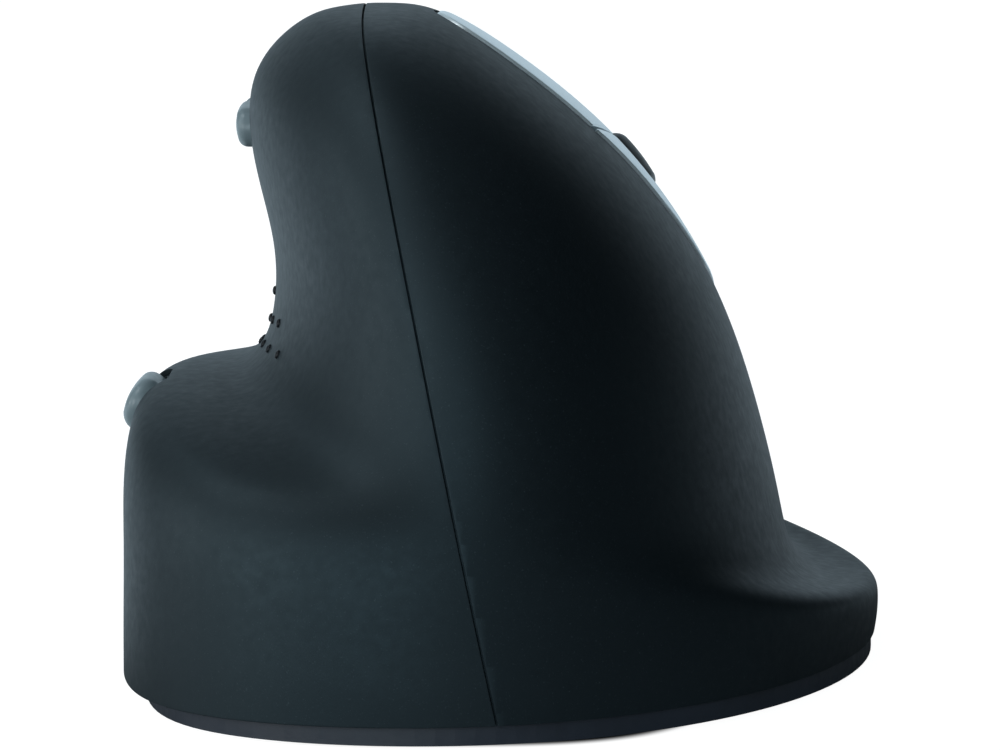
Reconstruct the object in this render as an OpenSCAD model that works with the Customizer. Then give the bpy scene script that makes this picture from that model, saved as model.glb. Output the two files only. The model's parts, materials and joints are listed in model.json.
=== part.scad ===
// Vertical ergonomic mouse: a tall palm body with a thumb channel on its left side and
// two long finger buttons with a scroll wheel on the slope of its right side.
// The heel points to -Y, the nose to +Y, the thumb side to -X, and the feet stand on Z = 0.

/* [Body] */
// Width of the body across the thumb ledge and the little-finger lip
body_w = 83; // [79:0.5:92]
// Length of the body from heel to nose
body_l = 115; // [109:0.5:126]
// Height of the crown above the desk
body_h = 72.5; // [69:0.5:80]
// Wall thickness of the shells
wall = 2.2; // [1.6:0.1:2.8]
// Lean of the joint between the shells, in degrees from upright
seam_lean = 11.9; // [8:0.1:15]
// Width of the line that shows between the shells
seam_gap = 0.2; // [0.1:0.05:0.4]
// Thickness of the base plate
base_t = 2.2; // [1.8:0.1:2.8]
// Setback of the base plate from the rim of the shells
base_inset = 1.4; // [1:0.1:3]
// Thickness of the glide feet
foot_t = 0.6; // [0.4:0.1:1]
// Length of a glide foot
foot_l = 14; // [10:1:18]
// Width of a glide foot
foot_w = 6; // [4:0.5:8]

/* [Finger buttons] */
// Tilt of the finger side in degrees, where 0 faces right and 90 faces up
finger_tilt = 38; // [35:0.5:42]
// Turn of the fingers down the slope, in degrees
finger_turn = 14; // [11:0.5:17]
// Forward pitch of the finger side, in degrees
finger_pitch = 12; // [9:0.5:15]
// Gap round each finger button
button_gap = 0.45; // [0.3:0.05:0.6]
// Height of the finger buttons above the skin
button_rise = 0.3; // [0.3:0.1:1]
// Thickness of the finger buttons
button_t = 2; // [1.6:0.1:2.6]
// Corner radius of the finger panel
panel_r = 6; // [3:0.5:8]
// Corner radius of the finger panel at its front
panel_front_r = 13; // [6:0.5:13]
// Distance of the button hinge behind the wheel axle
hinge_back = 23; // [22:0.5:24]
// Diameter of the hinge pins
pin_d = 2; // [1.6:0.1:2.4]
// Thickness of the rocker beams under the finger buttons
rocker_t = 2; // [1.6:0.1:2.6]
// Width of the rocker beams
rocker_w = 5; // [4:0.5:6]

/* [Scroll wheel] */
// Diameter of the scroll wheel over its tyre
wheel_d = 22; // [22:0.5:25]
// Width of the scroll wheel
wheel_w = 7.6; // [6:0.2:8.4]
// Height of the wheel above the skin
wheel_rise = 1.5; // [1.5:0.1:3]
// Offset of the wheel down the slope from the line between the buttons
wheel_shift = 2.3; // [1:0.1:3]
// Radial thickness of the rubber tyre
tyre_t = 2.6; // [2:0.1:3.4]
// Diameter of the wheel axle
axle_d = 2.6; // [2:0.1:3]
// Thickness of the cradle arms
arm_t = 1.8; // [1.4:0.1:2.2]
// Drop of the wheel when it is clicked
wheel_click = 0.8; // [0.5:0.1:1]

/* [Side buttons] */
// Length of a thumb button
thumb_l = 11; // [9:0.1:11.2]
// Height of a thumb button
thumb_h = 4.4; // [3.4:0.1:5]
// Height of the thumb buttons above the skin
thumb_rise = 1.5; // [1.1:0.1:2]
// Length of the ledge button
ledge_l = 11; // [8:0.5:13]
// Width of the ledge button
ledge_w = 5.8; // [5:0.2:7]
// Height of the ledge button above the skin
ledge_rise = 1.5; // [1.2:0.1:2.2]
// Press travel of the side buttons
side_press = 0.7; // [0.4:0.1:0.9]

/* [Grip dots] */
// Diameter of a grip dot
dot_d = 1; // [0.8:0.1:1.4]
// Distance between grip dots along a row
dot_pitch = 8; // [6:0.5:10]
// Distance between rows of grip dots
dot_row = 3.4; // [2.6:0.1:4]
// Height of the grip dots above the skin
dot_rise = 0.35; // [0.2:0.05:0.6]

/* [Switches and boards] */
// Thickness of the circuit boards
board_t = 1.2; // [0.8:0.1:1.6]
// Width of the main board
board_w = 28; // [24:1:30]
// Length of the main board
board_l = 24; // [20:1:26]
// Width of a finger switch
switch_w = 5.8; // [5:0.1:6]
// Length of a finger switch
switch_l = 12.8; // [11:0.1:13.4]
// Height of a finger switch
switch_h = 6.5; // [6:0.1:7]
// Diameter of a switch plunger
plunger_d = 2.4; // [2:0.1:2.8]
// Side of a small square switch
tact_w = 6; // [5:0.5:6.5]
// Height of a small square switch
tact_h = 3.4; // [3:0.1:4]
// Height of the main board above the base plate
standoff_h = 4.8; // [4.4:0.1:6]

/* [Power] */
// Diameter of the battery cell
battery_d = 14.5; // [13.5:0.1:15]
// Length of the battery cell over its button
battery_l = 50.5; // [48:0.5:52]
// Wall thickness of the battery tray
tray_t = 1.5; // [1.2:0.1:2]
// Length of the power slider's knob
slider_l = 4; // [3:0.5:5]
// Width of the power slider's knob
slider_w = 3; // [2.5:0.5:4]
// Throw of the power slider
slider_throw = 2; // [1.5:0.1:2.5]

/* [Fits] */
// Radial clearance of a turning or sliding pin
running_fit = 0.06; // [0.04:0.01:0.08]
// Clearance beside sliding pieces
slide_gap = 0.3; // [0.25:0.05:0.4]
// Shank diameter of the screws
screw_d = 2.6; // [2.2:0.1:3]
// Head diameter of the screws
screw_head_d = 5; // [4.4:0.1:5.6]
// Height of a screw head
screw_head_t = 0.8; // [0.6:0.1:1]

/* [Hidden] */

$fn = 48;
// Reach of a tool solid that must pass right through the body
far = 200;
// Overlap that joins two solids of one piece
weld = 0.4;

// Colours of the pieces
shell_grey = [0.17, 0.20, 0.22];
silver = [0.66, 0.73, 0.79];
key_grey = [0.36, 0.42, 0.45];
rubber = [0.06, 0.06, 0.07];
plastic = [0.12, 0.13, 0.15];
steel = [0.70, 0.71, 0.73];
board_green = [0.10, 0.32, 0.22];
white_slip = [0.85, 0.86, 0.87];

// The skin is one smooth surface over rings of eight control points: right, front right,
// front, front left, left, rear left, rear and rear right, counted from the rim to the crown.
// The four rails below place the side points, [across or along, up], at the reference size.
ref_w = 83;
ref_l = 115;
ref_h = 72;
ref_rim = 2.2;
left_rail = [
    [-39.7, 2.2], [-39.7, 9], [-39.6, 18], [-39.9, 28.4], [-37.6, 36.8], [-26.6, 33], [-24.5, 39.2],
    [-24.6, 47], [-27.5, 55.5], [-28.2, 66], [-21.4, 72], [-17, 72], [-12.5, 72]
];
right_rail = [
    [42, 2.2], [42.3, 3.6], [42.5, 5.6], [42.4, 7.3], [39.4, 6.7], [32.2, 6.75], [30.6, 14.4],
    [28, 25], [23.5, 39.5], [13.6, 55.5], [0.2, 66.8], [-7.5, 72], [-12.5, 72]
];
rear_rail = [
    [-56.2, 2.2], [-56.4, 5.5], [-56.2, 9.5], [-55.8, 14], [-55, 19], [-53.9, 25], [-52, 32.5],
    [-49, 42], [-44, 52.5], [-36.5, 62.4], [-26, 70], [-15, 72], [-4, 72]
];
front_rail = [
    [49.5, 2.2], [52, 5.5], [54, 9.2], [55.4, 13.2], [56.2, 17.4], [56.4, 21.6], [56, 26.5],
    [54.2, 33], [49, 41], [40, 51.4], [25, 64.2], [9, 72], [-4, 72]
];
// Across position of the front and rear rails, and along position of the side rails
spine_x = [-1, -1, -1, -1, -1, -2, -3, -4, -6, -9, -12, -12.5, -12.5];
left_y = [-27, -27, -26, -23, -17, -8, 0, 4, 5, 4, 0, -3, -4];
right_y = [-2, -2, -2, -2, -2, -1, 0, 0, 0, -1, -2, -4, -4];
// Fullness of the four corners of each ring, from 0.7 for round to 1 for square
rear_left_full = [0.8, 0.8, 0.8, 0.8, 0.79, 0.75, 0.72, 0.7, 0.7, 0.7, 0.7, 0.7, 0.7];
rear_right_full = [0.66, 0.66, 0.66, 0.66, 0.68, 0.7, 0.71, 0.71, 0.71, 0.7, 0.7, 0.7, 0.7];
front_right_full = [0.74, 0.74, 0.73, 0.71, 0.72, 0.78, 0.83, 0.85, 0.86, 0.86, 0.84, 0.8, 0.76];
front_left_full = [for (k = left_y) 0.78];
// Share of the side rail's height that a corner takes
corner_lift = 0.5;
lip_lift = 0.9;

rim_z = foot_t + base_t;
top_level = len(left_rail) - 1;
ring_points = 8;
// A ring's control points lie this much beyond the ring that they draw
ring_reach = 6 / (4 + 2 * cos(360 / ring_points));

// Shift that brings the middle of the whole object over the origin
middle_x = -0.36;
middle_y = -0.39;
size_x = body_w / ref_w;
size_y = body_l / ref_l;

function scaled(rail, size, middle) = [
    for (p = rail)
    [p[0] * size + middle, rim_z + (p[1] - ref_rim) * (body_h - rim_z) / (ref_h - ref_rim)]
];
left_side = scaled(left_rail, size_x, middle_x);
right_side = scaled(right_rail, size_x, middle_x);
rear_side = scaled(rear_rail, size_y, middle_y);
front_side = scaled(front_rail, size_y, middle_y);
spine = [for (x = spine_x) x * size_x + middle_x];
left_along = [for (y = left_y) y * size_y + middle_y];
right_along = [for (y = right_y) y * size_y + middle_y];

// A rail moved inward by a distance; turn is 1 on the left and rear and -1 on the right and front
function moved(rail, k, turn, inset) =
    let (step = rail[min(k + 1, top_level)] - rail[max(k - 1, 0)])
    let (way = k == 0 ? [0, 1] : step / norm(step))
    rail[k] + inset * turn * [way[1], -way[0]];

function corner(middle, side, end, full, lift) = [
    middle[0] + (side[0] - middle[0]) * full,
    middle[1] + (end[1] - middle[1]) * full + (side[1] - middle[1]) * (1 - full),
    side[2] * lift + end[2] * (1 - lift)
];

function control_ring(k, inset) =
    let (l = moved(left_side, k, 1, inset), r = moved(right_side, k, -1, inset))
    let (s = moved(rear_side, k, 1, inset), f = moved(front_side, k, -1, inset))
    let (middle = [spine[k], (left_along[k] + right_along[k]) / 2])
    let (left = [middle[0] + (l[0] - middle[0]) * ring_reach, left_along[k], l[1]])
    let (right = [middle[0] + (r[0] - middle[0]) * ring_reach, right_along[k], r[1]])
    let (rear = [middle[0], middle[1] + (s[0] - middle[1]) * ring_reach, s[1]])
    let (front = [middle[0], middle[1] + (f[0] - middle[1]) * ring_reach, f[1]])
    [
        right, corner(middle, right, front, front_right_full[k], lip_lift),
        front, corner(middle, left, front, front_left_full[k], corner_lift),
        left, corner(middle, left, rear, rear_left_full[k], corner_lift),
        rear, corner(middle, right, rear, rear_right_full[k], corner_lift)
    ];

// Control net with one mirrored ring beyond each end, so that the skin meets its end rings
function control_net(inset) =
    let (rings = [for (k = [0 : top_level]) control_ring(k, inset)])
    concat([2 * rings[0] - rings[1]], rings, [2 * rings[top_level] - rings[top_level - 1]]);

// Weights of four neighbours in a cubic spline
function weights(t) =
    [pow(1 - t, 3), 3 * pow(t, 3) - 6 * pow(t, 2) + 4, 3 * (t + pow(t, 2) - pow(t, 3)) + 1, pow(t, 3)] / 6;

function level_ring(net, level) =
    let (k = min(floor(level), top_level - 1), w = weights(level - k))
    w[0] * net[k] + w[1] * net[k + 1] + w[2] * net[k + 2] + w[3] * net[k + 3];

function ring_point(ring, turn) =
    let (m = floor(turn), w = weights(turn - m))
    w[0] * ring[(m + ring_points - 1) % ring_points] + w[1] * ring[m % ring_points]
    + w[2] * ring[(m + 1) % ring_points] + w[3] * ring[(m + 2) % ring_points];

function ring_line(ring, around) =
    [for (q = [0 : around - 1]) ring_point(ring, ring_points * q / around)];

// Point on the skin, or inside it by inset, at a turn round the body and a level up it
function skin(turn, level, inset = 0) = ring_point(level_ring(control_net(inset), level), turn);

// Facets round and up the outer skin, the finger panel and the cavity
skin_around = 56;
skin_up = 36;
panel_around = 88;
panel_up = 60;
cavity_around = 40;
cavity_up = 24;

// Solid inside the skin moved in by inset; drop carries its wall below the rim
module body(inset, around = skin_around, up = skin_up, drop = 0) {
    net = control_net(inset);
    rings = [for (j = [0 : up - 1]) ring_line(level_ring(net, top_level * j / up), around)];
    skirt = drop > 0 ? [[for (p = rings[0]) [p[0], p[1], p[2] - drop]]] : [];
    layers = concat(skirt, rings);
    crown = level_ring(net, top_level)[0];
    count = len(layers);
    points = concat([for (layer = layers) each layer], [crown]);
    sides = [
        for (j = [0 : count - 2], q = [0 : around - 1])
        let (a = j * around + q, b = j * around + (q + 1) % around)
        each [[a, a + around, b + around], [a, b + around, b]]
    ];
    cap = [
        for (q = [0 : around - 1])
        [(count - 1) * around + q, count * around, (count - 1) * around + (q + 1) % around]
    ];
    polyhedron(points, concat([[for (q = [0 : around - 1]) q]], sides, cap));
}

// Space inside the shells
module cavity() body(wall, cavity_around, cavity_up, rim_z);

// Everything on the thumb side of the leaning joint, which meets the rim at seam_x
seam_foot = -0.3;
seam_x = seam_foot * size_x + middle_x;

module thumb_side(gap) {
    translate([seam_x, 0, rim_z])
    rotate([0, -seam_lean, 0])
    translate([-far - gap / 2, -far / 2, -far / 2])
    cube(far);
}

module palm_side(gap) {
    translate([seam_x, 0, rim_z])
    rotate([0, -seam_lean, 0])
    translate([gap / 2, -far / 2, -far / 2])
    cube(far);
}

// Block and rod given by their ranges in the frame where they are drawn
module block(x, y, z) {
    translate([x[0], y[0], z[0]])
    cube([x[1] - x[0], y[1] - y[0], z[1] - z[0]]);
}

module rod(x, y, z, r) {
    translate([x[0], y, z])
    rotate([0, 90, 0])
    cylinder(r = r, h = x[1] - x[0]);
}

// Prism with round ends, long along Y, standing on the XY plane
module capsule(length, width, height) {
    reach = (length - width) / 2;
    block([-width / 2, width / 2], [-reach, reach], [0, height]);
    for (end = [-1, 1]) translate([0, end * reach, 0]) cylinder(d = width, h = height);
}

function span(middle, size) = [middle - size / 2, middle + size / 2];
function grown(range, by) = [range[0] - by, range[1] + by];
function mid(range) = (range[0] + range[1]) / 2;

// Finger frame: U runs down the slope across the fingers, V forward along them, N out of the
// skin; its origin lies on the skin on the line between the buttons, beside the wheel
finger_spot = [0.61, 8.91];
finger_at = skin(finger_spot[0], finger_spot[1]);
slope = [sin(finger_tilt), 0, -cos(finger_tilt)];
facing = [cos(finger_tilt), 0, sin(finger_tilt)];
ahead = [0, 1, 0];
finger_u = cos(finger_turn) * slope - sin(finger_turn) * ahead;
finger_way = cos(finger_turn) * ahead + sin(finger_turn) * slope;
finger_v = cos(finger_pitch) * finger_way - sin(finger_pitch) * facing;
finger_n = cos(finger_pitch) * facing + sin(finger_pitch) * finger_way;

function in_world(p) = finger_at + p[0] * finger_u + p[1] * finger_v + p[2] * finger_n;

module in_finger() {
    multmatrix([for (i = [0 : 2]) [finger_u[i], finger_v[i], finger_n[i], finger_at[i]]]) children();
}

// Corners of the finger panel, [down the slope, forward], counterclockwise
panel_line = [
    [17.6, -11], [19, 4], [18, 20], [12, 30], [2, 31.5], [-8, 27], [-16, 15],
    [-20.5, 0], [-21, -30.4], [-10, -28.7], [0, -25.9], [10, -19.8]
];
panel_front = -5;
panel_depth = 14;
panel_top = 8;

// Arc that rounds the corner b between a and c
function corner_arc(a, b, c, r) =
    let (
        back = (a - b) / norm(a - b),
        on = (c - b) / norm(c - b),
        half = acos(back * on) / 2,
        inward = (back + on) / norm(back + on),
        centre = b + inward * r / sin(half),
        first = b + back * r / tan(half) - centre,
        start = atan2(first[1], first[0]),
        sweep = 180 - 2 * half,
        steps = ceil(sweep * $fn / 360)
    )
    [for (k = [0 : steps]) centre + r * [cos(start + sweep * k / steps), sin(start + sweep * k / steps)]];

panel_sides = len(panel_line);
panel_edge = [
    for (i = [0 : panel_sides - 1])
    each corner_arc(
        panel_line[(i + panel_sides - 1) % panel_sides],
        panel_line[i],
        panel_line[(i + 1) % panel_sides],
        panel_line[i][1] < panel_front ? panel_r : panel_front_r
    )
];

module panel_prism(grow) {
    in_finger()
    translate([0, 0, -panel_depth])
    linear_extrude(panel_depth + panel_top)
    offset(delta = grow)
    polygon(panel_edge);
}

// Depths in the finger frame, from the wheel down to the deck that carries the switches
wheel_n = wheel_rise - wheel_d / 2;
wheel_clear = 1;
finger_board_n = wheel_n - wheel_d / 2 - wheel_click - wheel_clear;
deck_n = finger_board_n - board_t;
deck_t = 2;
switch_top_n = finger_board_n + switch_h;
plunger_rise = 1;
plunger_l = 3.5;
plunger_n = switch_top_n + plunger_rise;
touch_gap = 0.15;
foot_n = plunger_n + touch_gap;
rocker_n = -9;
knuckle_t = 1.4;
knuckle_r = pin_d / 2 + knuckle_t;
hinge_v = -hinge_back;
hinge_n = rocker_n - rocker_t - knuckle_r + weld;

// Places across the fingers: wheel, cradle, encoder, rocker beams and their knuckles
wheel_side = 0.5;
encoder_t = 3.2;
beam_gap = 0.8;
cradle_u = span(wheel_shift, wheel_w + 2 * wheel_side + 2 * arm_t);
encoder_u = [cradle_u[0] - encoder_t, cradle_u[0]];
upper_beam = [encoder_u[0] - beam_gap - rocker_w, encoder_u[0] - beam_gap];
upper_knuckle = [cradle_u[0] - beam_gap - rocker_w, cradle_u[0] - beam_gap];
lower_beam = [cradle_u[1] + beam_gap, cradle_u[1] + beam_gap + rocker_w];
lower_knuckle = lower_beam;
lug_t = 2.2;
lug_gap = 0.35;
lug_edge = 0.5;
lug_w = 2 * (knuckle_r + lug_edge);
hinge_lugs = [
    [upper_knuckle[0] - lug_gap - lug_t, upper_knuckle[0] - lug_gap],
    [upper_knuckle[1] + lug_gap, upper_knuckle[1] + lug_gap + lug_t],
    [lower_knuckle[0] - lug_gap - lug_t, lower_knuckle[0] - lug_gap],
    [lower_knuckle[1] + lug_gap, lower_knuckle[1] + lug_gap + lug_t]
];
cradle_lugs = [
    [cradle_u[0] - lug_gap - lug_t, cradle_u[0] - lug_gap],
    [cradle_u[1] + lug_gap, cradle_u[1] + lug_gap + lug_t]
];

// Places along the fingers: switches, click bar, cradle pivot and rocker shoulders
switch_v = 8;
rib_v = [-12, 5];
rib_l = 3;
beam_tip = 4;
beam_front = switch_v + beam_tip;
shoulder_start = 5;
shoulder_l = 6;
shoulder_v = [hinge_v + shoulder_start, hinge_v + shoulder_start + shoulder_l];
bar_w = 2.6;
bar_ahead = 2.5;
bar_v = wheel_d / 2 + bar_ahead;
bar_drop = 6.5;
bar_n = wheel_n - bar_drop;
pivot_ahead = 6;
pivot_drop = 6;
pivot_v = hinge_v + pivot_ahead;
pivot_n = wheel_n - pivot_drop;
click_pin_d = 2.4;
click_reach = 0.9;
click_drop = wheel_click * (bar_v - pivot_v) / -pivot_v;

// Shells with their screw bosses
boss_r = 3;
boss_h = 12;
boss_sink = 0.8;
boss_inset = wall + boss_r - boss_sink;
pilot_h = 8;
thumb_boss_turns = [5.6, 2.6];
palm_boss_turns = [6.6, 1.7];
thumb_bosses = [for (turn = thumb_boss_turns) skin(turn, 0, boss_inset)];
palm_bosses = [for (turn = palm_boss_turns) skin(turn, 0, boss_inset)];

module bosses(spots) {
    intersection() {
        body(wall / 2);
        for (p = spots) translate(p) cylinder(r = boss_r, h = boss_h);
    }
}

module pilots(spots) {
    for (p = spots) translate([p[0], p[1], 0]) cylinder(d = screw_d, h = rim_z + pilot_h);
}

module thumb_shell() {
    color(shell_grey)
    resize([0, 0, 0])
    difference() {
        union() {
            difference() {
                body(0);
                cavity();
            }
            bosses(thumb_bosses);
        }
        palm_side(-seam_gap);
        pilots(thumb_bosses);
        thumb_cap(back_at, slide_gap, hole_depth);
        thumb_cap(forward_at, slide_gap, hole_depth);
        ledge_cap(slide_gap, hole_depth);
        ledge_pocket();
        grip_studs(dot_fit, $fn = socket_sides);
    }
}

module palm_shell() {
    color(shell_grey)
    resize([0, 0, 0])
    difference() {
        union() {
            difference() {
                body(0);
                cavity();
            }
            bosses(palm_bosses);
        }
        thumb_side(-seam_gap);
        pilots(palm_bosses);
        panel_prism(button_gap);
    }
}

// Raised rubber dots in blind sockets over the thumb channel, each square to the skin
dot_start = [4.08, 5.52];
dot_rear = [2, 2, 0, -1, -2];
dot_ahead = 3;
dot_climb = 0.6;
dot_depth = 1.2;
dot_fit = 0.1;
socket_sides = 8;
probe = 0.05;

// Steps of turn and level that give the spacing in the middle of the channel
dot_middle = skin(dot_start[0], dot_start[1] + 1);
dot_turn = probe * dot_pitch / norm(skin(dot_start[0] + probe, dot_start[1] + 1) - dot_middle);
dot_level = probe * dot_row / norm(skin(dot_start[0], dot_start[1] + 1 + probe) - dot_middle);

function skin_out(turn, level) =
    let (across = skin(turn + probe, level) - skin(turn - probe, level))
    let (up = skin(turn, level + probe) - skin(turn, level - probe))
    cross(across, up) / norm(cross(across, up));

module grip_studs(grow) {
    for (row = [0 : len(dot_rear) - 1], column = [-dot_ahead : dot_rear[row]]) {
        shift = (column - row % 2 / 2) * dot_turn;
        turn = dot_start[0] + shift;
        level = dot_start[1] + row * dot_level + shift * dot_climb;
        out = skin_out(turn, level);
        translate(skin(turn, level))
        rotate([0, acos(out[2]), atan2(out[1], out[0])])
        translate([0, 0, -dot_depth - grow])
        cylinder(r = dot_d / 2 + grow, h = dot_depth + dot_rise + grow);
    }
}

module grip_dots() color(rubber) grip_studs(0);

// Base plate with its door opening, standoffs, sensor window and power slot
base_around = 120;
base_shift = 1;
standoff_r = 2.4;
board_z = rim_z + standoff_h;
hole_gap = 0.2;

module base_outline() {
    rim = ring_line(level_ring(control_net(base_inset), 0), base_around);
    translate([base_shift, 0])
    polygon([for (p = rim) [p[0], p[1]]]);
}

module base_plate() {
    color(plastic)
    difference() {
        union() {
            translate([0, 0, foot_t])
            linear_extrude(base_t)
            base_outline();
            for (p = board_corners) {
                translate([p[0], p[1], rim_z - weld])
                cylinder(r = standoff_r, h = standoff_h + weld);
            }
        }
        block([-far, door_x], door_y, [0, far]);
        block([-far, door_x], grown(door_y, tongue_w), [door_step_z, far]);
        for (p = concat(thumb_bosses, palm_bosses, leg_feet)) {
            translate([p[0], p[1], 0])
            cylinder(d = screw_d + 2 * hole_gap, h = far);
            translate([p[0], p[1], 0])
            cylinder(d = screw_head_d + 2 * hole_gap, h = foot_t + screw_head_t);
        }
        for (p = board_corners) {
            translate([p[0], p[1], rim_z])
            cylinder(d = board_screw_d, h = far);
        }
        translate([sensor_at[0], sensor_at[1], 0])
        cylinder(d = window_d, h = far);
        block(
            span(slider_at[0], slider_w + 2 * slide_gap),
            grown([slider_at[1] - slider_l / 2, slider_at[1] + slider_l / 2 + slider_throw], slide_gap),
            [0, far]
        );
    }
}

// Glide feet under the four corners of the base plate
foot_inset = 8;
foot_turns = [1.15, 3, 5.1, 6.95];
foot_step = 0.05;

module glide_feet() {
    color(white_slip)
    for (turn = foot_turns) {
        p = skin(turn, 0, foot_inset);
        along = skin(turn + foot_step, 0, foot_inset) - p;
        translate([p[0] + base_shift, p[1], 0])
        rotate([0, 0, atan2(along[1], along[0]) - 90])
        capsule(foot_l, foot_w, foot_t);
    }
}

// Battery tray, open below, with the cell between a spring and a contact plate
tray_inset = 6.4;
tray_gap = 0.5;
tray_front = 15.5 * size_y;
contact_t = 0.6;
spring_l = 3.5;
spring_d = 7;
cell_button_d = 5.5;
cell_button_l = 1.2;
tray_w = battery_d + 2 * (tray_gap + tray_t);
tray_x = [left_side[0][0] + tray_inset, left_side[0][0] + tray_inset + tray_w];
tray_y = [tray_front - battery_l - contact_t - spring_l - 2 * tray_t, tray_front];
cell_x = mid(tray_x);
cell_z = rim_z + slide_gap + battery_d / 2;
tray_flange = 4;
tray_flange_t = 1.2;

// Places of the thumb buttons on the skin, as [turn, level]
back_spot = [3.88, 8.38];
forward_spot = [3.52, 8.55];
back_at = skin(back_spot[0], back_spot[1]);
forward_at = skin(forward_spot[0], forward_spot[1]);

// Frame inside the body: a deck along the fingers on three legs, with lugs for the two pins
deck_edge = 0.6;
deck_rear = hinge_v - lug_w / 2 - deck_edge;
deck_front = bar_v + tact_w / 2 + deck_edge;
deck_step = -3;
upper_switch_u = mid(upper_beam);
lower_switch_u = mid(lower_beam);
deck_low = hinge_lugs[0][0] - deck_edge;
deck_low_front = upper_switch_u - switch_w / 2 - deck_edge;
deck_high = hinge_lugs[3][1] + deck_edge;
leg_w = 7;
leg_u = 10;
leg_ahead = 3;
leg_spots = [[leg_u, hinge_v + leg_ahead], [leg_u, beam_front]];
leg_tops = [for (p = leg_spots) in_world([p[0], p[1], deck_n])];
mast_w = 4.2;
mast_l = 8;
mast_top = in_world([mid(hinge_lugs[0]), hinge_v, deck_n]);
mast_x = span(tray_x[1] + slide_gap + mast_w / 2, mast_w);
mast_y = span(mast_top[1], mast_l);
mast_arm = [min(mast_x[0], mast_top[0]), max(mast_x[1], mast_top[0])];
thumb_z = mid([back_at[2], forward_at[2]]);
thumb_board_edge = 0.5;
thumb_board_h = tact_w + 2 * thumb_board_edge;
thumb_board_y = grown([back_at[1], forward_at[1]], thumb_board_h / 2);
leg_feet = concat(
    [for (p = leg_tops) [p[0], p[1], rim_z]],
    [[mid(mast_x), mid(mast_y), rim_z]]
);

module deck_outline() {
    polygon([
        [deck_low, deck_rear], [deck_high, deck_rear], [deck_high, deck_front],
        [deck_low_front, deck_front], [deck_low_front, deck_step], [deck_low, deck_step]
    ]);
}

module lug(u, v, n) block(u, span(v, lug_w), [deck_n - weld, n + knuckle_r]);

module inner_frame() {
    color(plastic)
    difference() {
        union() {
            in_finger() {
                translate([0, 0, deck_n - deck_t]) linear_extrude(deck_t) deck_outline();
                for (u = hinge_lugs) lug(u, hinge_v, hinge_n);
                for (u = cradle_lugs) lug(u, pivot_v, pivot_n);
            }
            intersection() {
                in_finger() block([-far, far], [-far, far], [-far, deck_n - deck_t / 2]);
                for (p = leg_tops) block(span(p[0], leg_w), span(p[1], leg_w), [rim_z, far]);
            }
            block(mast_x, mast_y, [rim_z, thumb_z + thumb_board_h / 2]);
            block(mast_arm, mast_y, [mast_top[2] - mast_l, mast_top[2]]);
            block(
                [thumb_board_x, mast_x[0] + weld],
                [mast_y[0], thumb_board_y[1]],
                span(thumb_z, thumb_board_h)
            );
        }
        in_finger() {
            rod(grown([hinge_lugs[0][0], hinge_lugs[3][1]], weld), hinge_v, hinge_n, pin_d / 2);
            rod(grown([cradle_lugs[0][0], cradle_lugs[1][1]], weld), pivot_v, pivot_n, pin_d / 2);
        }
        pilots(leg_feet);
    }
}

module hinge_pin() {
    color(steel)
    in_finger()
    rod([hinge_lugs[0][0], hinge_lugs[3][1]], hinge_v, hinge_n, pin_d / 2);
}

module cradle_pin() {
    color(steel)
    in_finger()
    rod([cradle_lugs[0][0], cradle_lugs[1][1]], pivot_v, pivot_n, pin_d / 2);
}

finger_board_rear = pivot_v + lug_w / 2 + slide_gap;

module finger_board() {
    color(board_green)
    in_finger()
    translate([0, 0, deck_n])
    linear_extrude(board_t)
    intersection() {
        deck_outline();
        translate([-far / 2, finger_board_rear]) square(far);
    }
}

// Finger switches with a bore for the plunger that the rocker presses
finger_press = 0.7;

module finger_switch(u) {
    in_finger()
    difference() {
        block(span(u, switch_w), span(switch_v, switch_l), [finger_board_n, switch_top_n]);
        translate([u, switch_v, plunger_n - plunger_l - finger_press - slide_gap])
        cylinder(r = plunger_d / 2 + running_fit, h = far);
    }
}

module plunger(u) {
    in_finger()
    translate([u, switch_v, plunger_n - plunger_l])
    cylinder(d = plunger_d, h = plunger_l);
}

module upper_switch() color(plastic) finger_switch(upper_switch_u);
module lower_switch() color(plastic) finger_switch(lower_switch_u);
module upper_plunger() color(white_slip) plunger(upper_switch_u);
module lower_plunger() color(white_slip) plunger(lower_switch_u);

// Small square switch standing on the XY plane, with a bore for the stem that presses it
stem_d = 2.4;
stem_reach = 1.2;

module tact_switch(bore_d, depth) {
    difference() {
        translate([-tact_w / 2, -tact_w / 2, 0]) cube([tact_w, tact_w, tact_h]);
        translate([0, 0, tact_h - depth]) cylinder(d = bore_d, h = far);
    }
}

module side_tact() tact_switch(stem_d + 2 * slide_gap, stem_reach + side_press + slide_gap);

module wheel_switch() {
    color(plastic)
    in_finger()
    translate([wheel_shift, bar_v, finger_board_n])
    tact_switch(click_pin_d + 4 * slide_gap, click_reach + click_drop + slide_gap);
}

// Finger buttons: a slice of the skin on ribs that stand on a rocker beam
rib_edge = 0.5;

module finger_button(half, beam) {
    resize([0, 0, 0])
    difference() {
        union() {
            intersection() {
                difference() {
                    body(-button_rise, panel_around, panel_up);
                    body(button_t - button_rise, cavity_around, cavity_up, rim_z);
                }
                panel_prism(0);
                in_finger() block(half, [-far, far], [-far, far]);
            }
            intersection() {
                body(button_t / 2 - button_rise);
                in_finger() for (v = rib_v) block(grown(beam, -rib_edge), span(v, rib_l), [rocker_n, far]);
            }
        }
        wheel_slot();
    }
}

// The slot clears the wheel where the pressed buttons dip at its ends
slot_dip = 2.4;
slot_n = button_rise - button_t - slot_dip;
slot_l = 2 * sqrt(pow(wheel_d / 2, 2) - pow(slot_n - wheel_n, 2)) + 2 * wheel_side;

module wheel_slot() {
    in_finger()
    block(span(wheel_shift, wheel_w + 2 * wheel_side), span(0, slot_l), [-panel_depth, panel_top]);
}

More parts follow.
